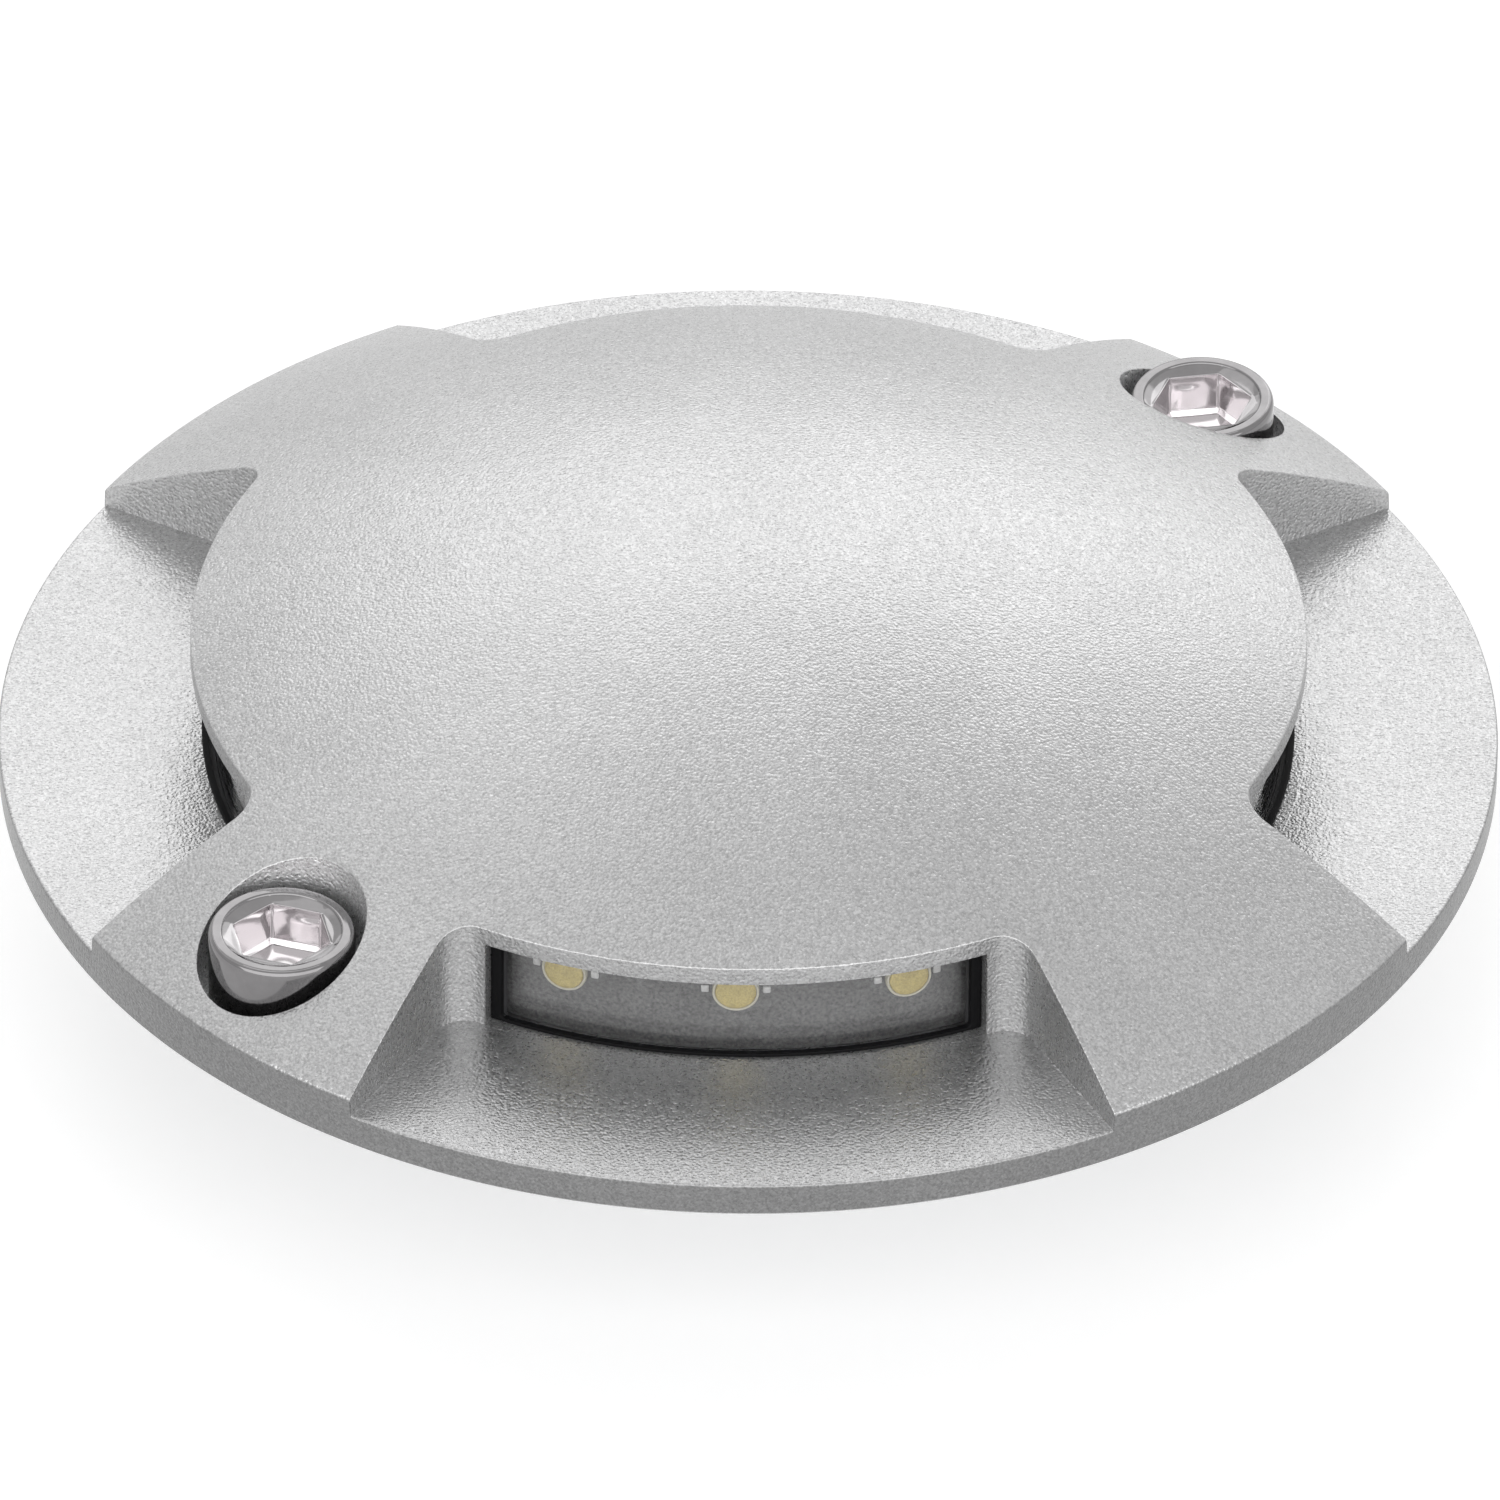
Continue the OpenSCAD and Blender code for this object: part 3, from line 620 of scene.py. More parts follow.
def lathe(name: str, profile: Sequence[Spot], centre: Spot = (0.0, 0.0), count: int = 96,
          sharp: float = 32.0) -> bpy.types.Object:
    """Turns a profile round an upright axis into a closed solid.

    Args:
        name: The object's name.
        profile: Radius and height of each point, in mm, in order, from the axis out and back to it.
        centre: Place of the axis, in mm.
        count: Points round the axis.
        sharp: Crisp angle, in degrees.

    Returns:
        The new object.
    """
    rings = profile[1:-1]
    points: list[Point] = []
    for radius, height in rings:
        for i in range(count):
            x, y = at_angle(radius, 360 * i / count)
            points.append((centre[0] + x, centre[1] + y, height))
    faces = ring_faces(len(rings), count) + pole_faces(len(rings), count, len(points))
    points += [(*centre, profile[0][1]), (*centre, profile[-1][1])]
    return solid(name, points, faces, sharp)


def ride_as(obj: bpy.types.Object, body: str, slot: str, *nodes: str) -> bpy.types.Object:
    """Ties a new piece to its body and hides the CAD nodes that it stands for.

    Args:
        obj: The piece.
        body: The body that it moves with.
        slot: The record's material slot; not used.
        nodes: CAD nodes that it replaces.

    Returns:
        The same piece.
    """
    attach(obj, body)
    if nodes:
        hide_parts(*nodes)
    LOG.info("%s: %d faces, %d open edges", obj.name, len(obj.data.polygons), open_edges(obj.data))
    return obj


class ArcArray:
    """Geometry Nodes that repeat an object's mesh round the part's axis."""

    SIZES: tuple[tuple[str, str], ...] = (
        ("Count", "NodeSocketInt"), ("First Angle", "NodeSocketFloat"), ("Step Angle", "NodeSocketFloat"),
        ("Radius", "NodeSocketFloat"), ("Height", "NodeSocketFloat"), ("Spin", "NodeSocketFloat"),
        ("Seed", "NodeSocketInt"), ("Finish", "NodeSocketMaterial"))

    def __init__(self) -> None:
        """Builds the node tree with its named inputs."""
        tree = bpy.data.node_groups.new("arc_array", "GeometryNodeTree")
        face = tree.interface
        face.new_socket("Geometry", in_out="INPUT", socket_type="NodeSocketGeometry")
        face.new_socket("Geometry", in_out="OUTPUT", socket_type="NodeSocketGeometry")
        self.keys = {name: face.new_socket(name, in_out="INPUT", socket_type=kind).identifier
                     for name, kind in self.SIZES}
        graph = Graph(tree)
        given = graph.add("NodeGroupInput").outputs
        index = graph.add("GeometryNodeInputIndex").outputs[0]
        angle = graph.math("ADD", given["First Angle"], graph.math("MULTIPLY", index, given["Step Angle"]))
        place = graph.add("ShaderNodeCombineXYZ", {
            0: graph.math("MULTIPLY", graph.math("COSINE", angle), given["Radius"]),
            1: graph.math("MULTIPLY", graph.math("SINE", angle), given["Radius"]), 2: given["Height"]})
        spin = graph.add("FunctionNodeRandomValue", {"Seed": given["Seed"], "ID": index}, data_type="FLOAT")
        own = graph.math("MULTIPLY", spin.outputs[1], given["Spin"])
        facing = graph.add("ShaderNodeCombineXYZ", {2: graph.math("ADD", angle, own)})
        cloud = graph.add("GeometryNodePoints", {"Count": given["Count"], "Position": place.outputs[0]})
        copies = graph.add("GeometryNodeInstanceOnPoints", {
            "Points": cloud.outputs[0], "Instance": given["Geometry"], "Rotation": facing.outputs[0]})
        real = graph.add("GeometryNodeRealizeInstances", {0: copies.outputs[0]})
        dressed = graph.add("GeometryNodeSetMaterial", {"Geometry": real.outputs[0], "Material": given["Finish"]})
        graph.add("NodeGroupOutput", {0: dressed.outputs[0]})
        self.tree = tree

    def repeat(self, obj: bpy.types.Object, material: bpy.types.Material, count: int, first: float, step: float,
               radius: float = 0.0, height: float = 0.0, spin: float = 0.0, seed: int = 7) -> bpy.types.Object:
        """Repeats an object's mesh and keeps the result as its plain mesh.

        Args:
            obj: The object with one item, built with +X outwards.
            material: The item's material.
            count: Number of items.
            first: Angle of the first item, in degrees.
            step: Angle between items, in degrees.
            radius: Distance of the items from the axis, in mm.
            height: Height of the items, in mm.
            spin: Most that an item turns about itself, in degrees.
            seed: Seed of those turns.

        Returns:
            The same object.
        """
        modifier = obj.modifiers.new("arc_array", "NODES")
        modifier.node_group = self.tree
        values = {"Count": count, "First Angle": math.radians(first), "Step Angle": math.radians(step),
                  "Radius": radius * MM, "Height": height * MM, "Spin": math.radians(spin), "Seed": seed,
                  "Finish": material}
        for name, value in values.items():
            modifier[self.keys[name]] = value
        bake(obj)
        return obj


class SoftEdges:
    """Geometry Nodes that merge a CAD node's triangles and shade them smooth between crisp edges."""

    def __init__(self, crisp: float = 28.0) -> None:
        """Builds the node tree.

        Args:
            crisp: Angle in degrees past which an edge stays crisp.
        """
        tree = bpy.data.node_groups.new("soft_edges", "GeometryNodeTree")
        tree.interface.new_socket("Geometry", in_out="INPUT", socket_type="NodeSocketGeometry")
        tree.interface.new_socket("Geometry", in_out="OUTPUT", socket_type="NodeSocketGeometry")
        self.key = tree.interface.new_socket("Crisp Angle", in_out="INPUT",
                                             socket_type="NodeSocketFloat").identifier
        self.crisp = math.radians(crisp)
        graph = Graph(tree)
        given = graph.add("NodeGroupInput").outputs
        merged = graph.add("GeometryNodeMergeByDistance", {"Geometry": given[0], "Distance": 0.000002})
        turn = graph.add("GeometryNodeInputMeshEdgeAngle").outputs["Unsigned Angle"]
        crisp_edge = graph.math("GREATER_THAN", turn, given["Crisp Angle"])
        soft = graph.add("GeometryNodeSetShadeSmooth", {"Geometry": merged.outputs[0], "Shade Smooth": True},
                         domain="FACE")
        final = graph.add("GeometryNodeSetShadeSmooth", {
            "Geometry": soft.outputs[0], "Selection": crisp_edge, "Shade Smooth": False}, domain="EDGE")
        graph.add("NodeGroupOutput", {0: final.outputs[0]})
        self.tree = tree

    def put(self, obj: bpy.types.Object) -> None:
        """Adds the modifier to a CAD node.

        Args:
            obj: The node's object.
        """
        modifier = obj.modifiers.new("soft_edges", "NODES")
        modifier.node_group = self.tree
        modifier[self.key] = self.crisp


@dataclass
class Cover:
    """Cast cover: the dome, arms and recesses are one height field, closed below and then hollowed."""

    flange_r: float = 70.0
    dome_radius: float = 133.0656
    dome_centre: float = -107.8656
    crown_wall: float = 4.0
    window_r: float = 52.0
    recess_half: float = 30.0
    jamb_fillet: float = 3.0
    floor_edge_h: float = 3.5
    floor_rise: float = 0.2
    top_round: float = 0.1
    wall_draft: float = 0.12
    foot_round: float = 0.05
    rim_round: float = 0.25
    edge_break: float = 0.4
    bore_r: float = 7.8
    bore_at: float = 60.0
    bore_round: float = 0.14
    bore_draft: float = 0.06
    seat_z: float = 2.5
    hole_r: float = 4.5
    cavity_r: float = 50.5
    ceiling_z: float = 13.32
    ceiling_steps: int = 14
    rebate_r: float = 54.9
    rebate_h: float = 0.2
    boss_r: float = 4.0
    boss_at: float = 38.5
    screw_hole_r: float = 2.05
    screw_hole_top: float = 9.5
    window_half: float = 26.29
    sill_z: float = 3.72
    brow_z: float = 12.82
    window_round: float = 0.03
    window_columns: int = 72
    flare_steps: int = 4
    grid: float = 1.6
    line_step: float = 0.8
    fillet_step: float = 0.3
    rim_step: float = 0.5
    bore_step: float = 2.5
    outline_gap: Spot = (-2.2, 2.5)
    bore_gap: Spot = (7.1, 9.2)
    rim_gap: float = 0.6
    rows: tuple[float, ...] = (-1.6, -0.9, -0.45, -0.2, -0.1, -0.085, -0.06, -0.035, -0.015, -0.004, 0.0, 0.12, 0.13,
                               0.2, 0.33, 0.52, 0.75, 0.92, 1.3, 1.9)
    rims: tuple[float, ...] = (70.0, 69.99, 69.96, 69.91, 69.83, 69.75, 69.6)
    bore_rings: tuple[float, ...] = (7.74, 7.8, 7.815, 7.84, 7.88, 7.94, 8.6)
    spots: list[Spot] = field(default_factory=list)
    links: list[tuple[int, int]] = field(default_factory=list)

    def dome_z(self, radius: float) -> float:
        """Height of the dome at a distance from the axis."""
        return self.dome_centre + math.sqrt(self.dome_radius ** 2 - radius ** 2)

    def fillet_reach(self) -> float:
        """Distance along a recess's side at which its back fillet starts."""
        return math.sqrt((self.window_r + self.jamb_fillet) ** 2 - self.jamb_fillet ** 2)

    def fillet_angle(self) -> float:
        """Angle of the back fillet's centre from the recess's axis, in degrees."""
        return self.recess_half - math.degrees(math.asin(self.jamb_fillet / (self.window_r + self.jamb_fillet)))

    def depth_inside(self, x: float, y: float) -> float:
        """How far a place lies inside the nearest recess.

        Args:
            x: Place along X, in mm.
            y: Place along Y, in mm.

        Returns:
            The distance in mm from the recess's outline, negative outside it.
        """
        radius = math.hypot(x, y)
        angle = math.degrees(math.atan2(y, x))
        turn = min(abs((angle - side.value + 180) % 360 - 180) for side in Side)
        lean = math.radians(self.recess_half - turn)
        across, along = radius * math.sin(lean), radius * math.cos(lean)
        if along < self.fillet_reach() and turn > self.fillet_angle():
            return self.jamb_fillet - math.hypot(self.jamb_fillet - across, self.fillet_reach() - along)
        return min(across, radius - self.window_r)

    def height(self, x: float, y: float) -> float:
        """Height of the cover's upper face.

        Args:
            x: Place along X, in mm.
            y: Place along Y, in mm.

        Returns:
            The height in mm.
        """
        radius = min(math.hypot(x, y), self.flange_r)
        top = self.dome_z(radius)
        depth = self.depth_inside(x, y)
        if depth > -self.top_round:
            top = self.recess_height(depth, radius, top)
        for corner in Corner:
            cx, cy = at_angle(self.bore_at, corner.angle)
            top = self.bore_height(math.hypot(x - cx, y - cy), top)
        over = radius - (self.flange_r - self.rim_round)
        if over > 0:
            top -= self.rim_round - math.sqrt(max(0.0, self.rim_round ** 2 - over ** 2))
        return top

    def recess_height(self, depth: float, radius: float, top: float) -> float:
        """Height on a recess's rounded edge, wall, foot fillet or floor.

        Args:
            depth: Distance inside the outline, in mm.
            radius: Distance from the axis, in mm.
            top: The dome's height there, in mm.

        Returns:
            The height in mm.
        """
        floor = self.floor_edge_h + self.floor_rise * (self.flange_r - radius) / (self.flange_r - self.window_r)
        foot = self.foot_round
        if depth <= 0:
            return top - self.top_round + math.sqrt(max(0.0, self.top_round ** 2 - (depth + self.top_round) ** 2))
        if depth <= self.wall_draft:
            return top - self.top_round + (floor + foot - top + self.top_round) * depth / self.wall_draft
        inside = depth - self.wall_draft
        if inside < foot:
            return floor + foot - math.sqrt(foot ** 2 - (foot - inside) ** 2)
        return floor

    def bore_height(self, away: float, top: float) -> float:
        """Height on a counterbore's rounded edge, wall or seat.

        Args:
            away: Distance from the counterbore's axis, in mm.
            top: Height of the face round it, in mm.

        Returns:
            The height in mm.
        """
        if away >= self.bore_r + self.bore_round:
            return top
        if away >= self.bore_r:
            inner = self.bore_round - (away - self.bore_r)
            return top - self.bore_round + math.sqrt(max(0.0, self.bore_round ** 2 - inner ** 2))
        share = min(1.0, (self.bore_r - away) / self.bore_draft)
        edge = top - self.bore_round
        return edge + (self.seat_z - edge) * share

    def line(self, spots: Sequence[Spot], closed: bool) -> None:
        """Adds a line of points that the triangles follow.

        Args:
            spots: The points in order.
            closed: Whether the last joins the first.
        """
        first = len(self.spots)
        self.spots += spots
        self.links += [(first + i, first + i + 1) for i in range(len(spots) - 1)]
        if closed:
            self.links.append((first + len(spots) - 1, first))

    def recess_row(self, depth: float, axis: float) -> list[Spot]:
        """The line at one distance inside a recess's outline, from rim to rim.

        Args:
            depth: The distance, in mm.
            axis: The recess's axis, in degrees.

        Returns:
            The line's points.
        """
        half, reach = math.radians(self.recess_half), self.fillet_reach()
        along, inward = Vector((math.cos(half), math.sin(half))), Vector((math.sin(half), -math.cos(half)))
        start = self.rims[-1] - 0.5
        steps = math.ceil((start - reach) / self.line_step)
        ways = [math.sqrt(r * r - depth * depth) for r in self.rims]
        ways += [start + (reach - start) * i / steps for i in range(steps + 1)]
        row = [along * way + inward * depth for way in ways]
        centre = along * reach + inward * self.jamb_fillet
        bend = self.jamb_fillet - depth
        first, sweep = half + math.pi / 2, math.pi / 2 + math.radians(self.fillet_angle()) - half
        count = max(5, math.ceil(bend * sweep / self.fillet_step))
        for i in range(1, count + 1):
            turn = first + sweep * i / count
            row.append(centre + Vector((math.cos(turn), math.sin(turn))) * bend)
        count = math.ceil(math.radians(self.fillet_angle()) * self.window_r / self.line_step)
        for i in range(1, count + 1):
            row.append(Vector(at_angle(self.window_r + depth, self.fillet_angle() * (1 - i / count))))
        row += [Vector((p.x, -p.y)) for p in reversed(row[:-1])]
        turn = Matrix.Rotation(math.radians(axis), 2)
        return [tuple(turn @ p) for p in row]

    def rim_row(self, radius: float) -> list[Spot]:
        """The line round the rim at one radius, with a point on each line that crosses it.

        Args:
            radius: The radius, in mm.

        Returns:
            The line's points.
        """
        crossings = [side.value + sign * (self.recess_half - math.degrees(math.asin(depth / radius)))
                     for side in Side for sign in (-1, 1) for depth in self.rows]
        crossings = sorted(angle % 360 for angle in crossings)
        plain = [i * self.rim_step for i in range(round(360 / self.rim_step))]
        free = [a for a in plain if min(abs((a - c + 180) % 360 - 180) for c in crossings) > 0.08]
        return [at_angle(radius, angle) for angle in sorted(crossings + free)]

    def lay_out(self) -> None:
        """Places every line and grid point of the upper face."""
        self.spots, self.links = [], []
        for side in Side:
            for depth in self.rows:
                self.line(self.recess_row(depth, side.value), False)
        for radius in self.rims:
            self.line(self.rim_row(radius), True)
        centres = [at_angle(self.bore_at, corner.angle) for corner in Corner]
        for cx, cy in centres:
            for radius in self.bore_rings:
                ring = [at_angle(radius, self.bore_step * i) for i in range(round(360 / self.bore_step))]
                self.line([(cx + x, cy + y) for x, y in ring], True)
        high = self.grid * math.sqrt(3) / 2
        rows = math.ceil(self.flange_r / high)
        for j in range(-rows, rows + 1):
            for i in range(-rows, rows + 1):
                x, y = (i + 0.5 * (j % 2)) * self.grid, j * high
                near_bore = any(self.bore_gap[0] < math.hypot(x - cx, y - cy) < self.bore_gap[1]
                                for cx, cy in centres)
                near_outline = self.outline_gap[0] < self.depth_inside(x, y) < self.outline_gap[1]
                if math.hypot(x, y) <= self.rims[-1] - self.rim_gap and not near_outline and not near_bore:
                    self.spots.append((x, y))

    def shell(self) -> bpy.types.Object:
        """The cover as a closed solid with a flat underside.

        Returns:
            The solid, not yet hollowed.
        """
        self.lay_out()
        flat, _, faces, _, _, _ = delaunay_2d_cdt([Vector(s) for s in self.spots], self.links, [], 0, 1e-5)
        points: list[Point] = [(p.x, p.y, self.height(p.x, p.y)) for p in flat]
        sides = [tuple(face) for face in faces]
        edges = [(face[i - 1], face[i]) for face in faces for i in range(len(face))]
        inner = {(b, a) for a, b in edges}
        rim = [edge for edge in edges if edge not in inner]
        upper, lower = {}, {}
        for i in sorted({i for edge in rim for i in edge}):
            way = flat[i].normalized()
            upper[i], lower[i] = len(points), len(points) + 1
            points.append((*(way * self.flange_r), self.edge_break))
            points.append((*(way * (self.flange_r - self.edge_break)), 0.0))
        points.append((0.0, 0.0, 0.0))
        for a, b in rim:
            sides.append((b, a, upper[a], upper[b]))
            sides.append((upper[b], upper[a], lower[a], lower[b]))
            sides.append((lower[b], lower[a], len(points) - 1))
        return solid("cast_cover", points, sides)

    def window_block(self, side: Side) -> bpy.types.Object:
        """The space of one window, flared by the rounding of its outer edge.

        Args:
            side: Which window.

        Returns:
            A solid to take away.
        """
        edge = self.window_r - self.window_round
        steps = [(self.cavity_r - 0.7, 0.0), (edge, 0.0)]
        for i in range(1, self.flare_steps + 1):
            turn = math.radians(90 * i / self.flare_steps)
            steps.append((edge + self.window_round * math.sin(turn), self.window_round * (1 - math.cos(turn))))
        steps.append((self.window_r + 0.6, self.window_round))
        columns = self.window_columns
        points: list[Point] = []
        for radius, flare in steps:
            half = self.window_half + math.degrees(flare / radius)
            angles = [side.value - half + 2 * half * i / columns for i in range(columns + 1)]
            for z, run in ((self.sill_z, angles), (self.brow_z + flare, reversed(angles))):
                points += [(*at_angle(radius, angle), z) for angle in run]
        loop = 2 * (columns + 1)
        faces = ring_faces(len(steps), loop)
        for first in (0, (len(steps) - 1) * loop):
            faces += [(first + i, first + i + 1, first + loop - 2 - i, first + loop - 1 - i) for i in range(columns)]
        return solid("window_space", points, faces)

    def hollow(self) -> bpy.types.Object:
        """Everything that is taken out of the closed cover.

        Returns:
            The cavity with its bosses left standing, the windows and the screw holes.
        """
        inner = self.dome_radius - self.crown_wall
        reach = math.sqrt(inner ** 2 - (self.ceiling_z - self.dome_centre) ** 2)
        profile = [(0.0, -1.0), (self.rebate_r, -1.0), (self.rebate_r, self.rebate_h), (self.cavity_r, self.rebate_h),
                   (self.cavity_r, self.ceiling_z)]
        radii = [reach * (1 - i / self.ceiling_steps) for i in range(self.ceiling_steps)]
        profile += [(radius, self.dome_centre + math.sqrt(inner ** 2 - radius ** 2)) for radius in radii]
        profile.append((0.0, self.dome_centre + inner))
        space = lathe("cavity", profile, count=240)
        places = [at_angle(self.boss_at, 45 + 90 * i) for i in range(4)]
        posts = [lathe("boss", [(0.0, -2.0), (self.boss_r, -2.0), (self.boss_r, 17.0), (0.0, 17.0)], p, 48)
                 for p in places]
        gather(posts[0], posts[1:])
        combine(space, posts[0], Cut.TAKE)
        blocks = [self.window_block(side) for side in Side]
        gather(blocks[0], blocks[1:])
        combine(space, blocks[0], Cut.ADD)
        low = -0.9
        holes = [lathe("hole", [(0.0, low), (self.screw_hole_r, low), (self.screw_hole_r, self.screw_hole_top),
                                (0.0, self.screw_hole_top)], p, 40) for p in places]
        holes += [lathe("hole", [(0.0, low), (self.hole_r, low), (self.hole_r, self.seat_z + 1),
                                 (0.0, self.seat_z + 1)], at_angle(self.bore_at, corner.angle), 64)
                  for corner in Corner]
        gather(space, holes)
        return space

    def build(self, paint: Paint) -> None:
        """Makes the cover and ties it to the frame.

        Args:
            paint: Hands out the materials.
        """
        cover = self.shell()
        combine(cover, self.hollow(), Cut.TAKE)
        smooth(cover.data, 35.0)
        paint.put(cover, paint.palette.coat)
        ride_as(cover, "light_body", "cast_cover", "cover")


@dataclass
class FixingScrew:
    """Socket head cap screw with its thread, rounded shoulder, conical mouth and hexagon socket."""

    centre_r: float = 60.0
    thread_r: float = 4.0
    thread_depth: float = 0.55
    pitch: float = 1.25
    tip_z: float = -6.6
    neck_r: float = 3.6
    head_r: float = 6.8
    head_z: float = 3.4
    top_z: float = 11.4
    ring_out: float = 6.4
    ring_in: float = 5.5
    socket_flat: float = 4.1
    socket_round: float = 0.35
    socket_z: float = 6.6
    mouth_depth: float = 0.5
    bead_drop: float = 0.15
    thread_steps: int = 44
    run_in_r: float = 3.35
    run_in_steps: int = 6
    mouth_shares: tuple[float, ...] = (0.12, 0.3, 0.5, 0.72, 0.93)
    offsets: tuple[float, ...] = (0.0, 0.7, 1.45, 2.17, 3.5, 6.0, 9.0, 12.5, 16.0, 19.5, 23.0, 26.5, 30.0)

    def columns(self, turn: float) -> list[tuple[float, float]]:
        """Angle of each column of points, and its angle from the nearest corner of the socket.

        Args:
            turn: Angle of one corner of the socket, in degrees.

        Returns:
            Both angles of each column, in degrees.
        """
        inner = [-o for o in reversed(self.offsets[1:-1])] + list(self.offsets)
        return [(turn + 60 * k + o, abs(o)) for k in range(6) for o in inner]

    def socket_r(self, away: float) -> float:
        """Distance of the socket's wall from its axis.

        Args:
            away: Angle from the nearest corner, in degrees.

        Returns:
            The distance in mm, with the corner rounded.
        """
        corner = (self.socket_flat - self.socket_round) / math.cos(math.radians(30))
        lean = math.radians(away)
        tangent = math.atan2(self.socket_round / 2, corner + self.socket_round * math.cos(math.radians(30)))
        if lean <= tangent:
            return corner * math.cos(lean) + math.sqrt(
                max(0.0, self.socket_round ** 2 - (corner * math.sin(lean)) ** 2))
        return self.socket_flat / math.cos(math.radians(30) - lean)

    def outside(self) -> list[Spot]:
        """Radius and height of the plain rows, from the neck up to the mouth's edge.

        Returns:
            The rows in order.
        """
        rows = [(self.neck_r, 0.4), (self.neck_r, 3.0), (self.neck_r + 0.12, 3.28), (self.neck_r + 0.4, self.head_z)]
        rows += [(self.head_r - 0.4, self.head_z), (self.head_r - 0.12, self.head_z + 0.12),
                 (self.head_r - 0.03, self.head_z + 0.4), (self.head_r - 0.06, self.head_z + 0.75),
                 (self.head_r - 0.06, self.head_z + 0.85), (self.head_r, self.head_z + 0.95)]
        low = self.top_z - 0.82
        rows += [(self.head_r, self.head_z + 3.0), (self.head_r, low)]
        for i in range(1, 9):
            turn = math.radians(11.25 * i)
            rows.append((self.ring_out + (self.head_r - self.ring_out) * math.cos(turn),
                         low + (self.top_z - 0.05 - low) * math.sin(turn)))
        rows += [(self.ring_out - 0.02, self.top_z - 0.015), (self.ring_out - 0.07, self.top_z),
                 (self.ring_out - 0.3, self.top_z), (self.ring_in + 0.3, self.top_z),
                 (self.ring_in + 0.17, self.top_z), (self.ring_in + 0.1, self.top_z - 0.02),
                 (self.ring_in + 0.04, self.top_z - 0.07), (self.ring_in, self.top_z - self.bead_drop)]
        return rows

    def build(self, corner: Corner, paint: Paint) -> None:
        """Makes one fixing screw and ties it to its body.

        Args:
            corner: The arm that it stands on.
            paint: Hands out the materials.
        """
        cx, cy = at_angle(self.centre_r, corner.angle)
        columns = self.columns(corner.turn)
        count = len(columns)
        points: list[Point] = []

        def row(shape: Callable[[float, float], Spot]) -> None:
            """Adds one row of points.

            Args:
                shape: Gives the radius and height at a column's two angles.
            """
            for angle, away in columns:
                radius, z = shape(angle, away)
                x, y = at_angle(radius, angle)
                points.append((cx + x, cy + y, z))

        row(lambda angle, away: (self.thread_r - 1.0, self.tip_z))
        low, high = self.tip_z + 0.2, -0.05
        for i in range(self.thread_steps + 1):
            z = low + (high - low) * i / self.thread_steps
            full = min(1.0, 0.35 + i / self.run_in_steps)
            row(lambda angle, away, z=z, full=full: (
                self.thread_at(angle, z) * full + self.run_in_r * (1 - full), z))
        for radius, z in self.outside():
            row(lambda angle, away, radius=radius, z=z: (radius, z))
        edge = self.top_z - self.bead_drop
        mouth_first = len(points)
        for share in self.mouth_shares:
            row(lambda angle, away, share=share: self.mouth(away, share, edge))
        lip = self.top_z - self.mouth_depth
        socket_first = len(points)
        row(lambda angle, away: (self.socket_r(away) + 0.01, lip - 0.04))
        for z in (lip - 0.1, self.socket_z + 2.4, self.socket_z + 0.55):
            row(lambda angle, away, z=z: (self.socket_r(away), z))
        row(lambda angle, away: (self.socket_r(away) - 0.1, self.socket_z + 0.35))
        row(lambda angle, away: (self.socket_r(away) - 0.45, self.socket_z))
        row(lambda angle, away: (1.9, self.socket_z))
        row(lambda angle, away: (0.9, self.socket_z - 0.3))
        rows = len(points) // count
        faces = ring_faces(rows, count) + pole_faces(rows, count, len(points))
        points += [(cx, cy, self.tip_z), (cx, cy, self.socket_z - 0.6)]
        screw = solid("cap_screw_" + corner.label, points, faces, 30.0)
        # Painted reflection: points in the socket take the steel's brighter inner colour fully, and those on the mouth
        # take a tenth of it.
        share = screw.data.attributes.new(paint.palette.steel.attribute, "FLOAT", "POINT")
        for i, item in enumerate(share.data):
            item.value = 0.0 if i < mouth_first or i == len(points) - 2 else 0.1 if i < socket_first else 1.0
        paint.put(screw, paint.palette.steel)
        ride_as(screw, "screw_" + corner.label, "polished_stainless", "fixing_screw_" + corner.label)

    def thread_at(self, angle: float, z: float) -> float:
        """Radius of the thread at an angle and height."""
        phase = (z / self.pitch - angle / 360) % 1.0
        return self.thread_r - 0.02 - self.thread_depth * abs(2 * phase - 1)

    def mouth(self, away: float, share: float, edge: float) -> Spot:
        """A point on the hollow mouth, steep at the ring and flat at the socket.

        Args:
            away: Angle from the nearest corner, in degrees.
            share: Way from the mouth's edge to the socket's wall, from 0 to 1.
            edge: Height of the mouth's edge, in mm.

        Returns:
            Its radius and height.
        """
        radius = self.ring_in + (self.socket_r(away) - self.ring_in) * share
        return radius, edge - (self.mouth_depth - self.bead_drop) * math.sin(math.pi / 2 * share)


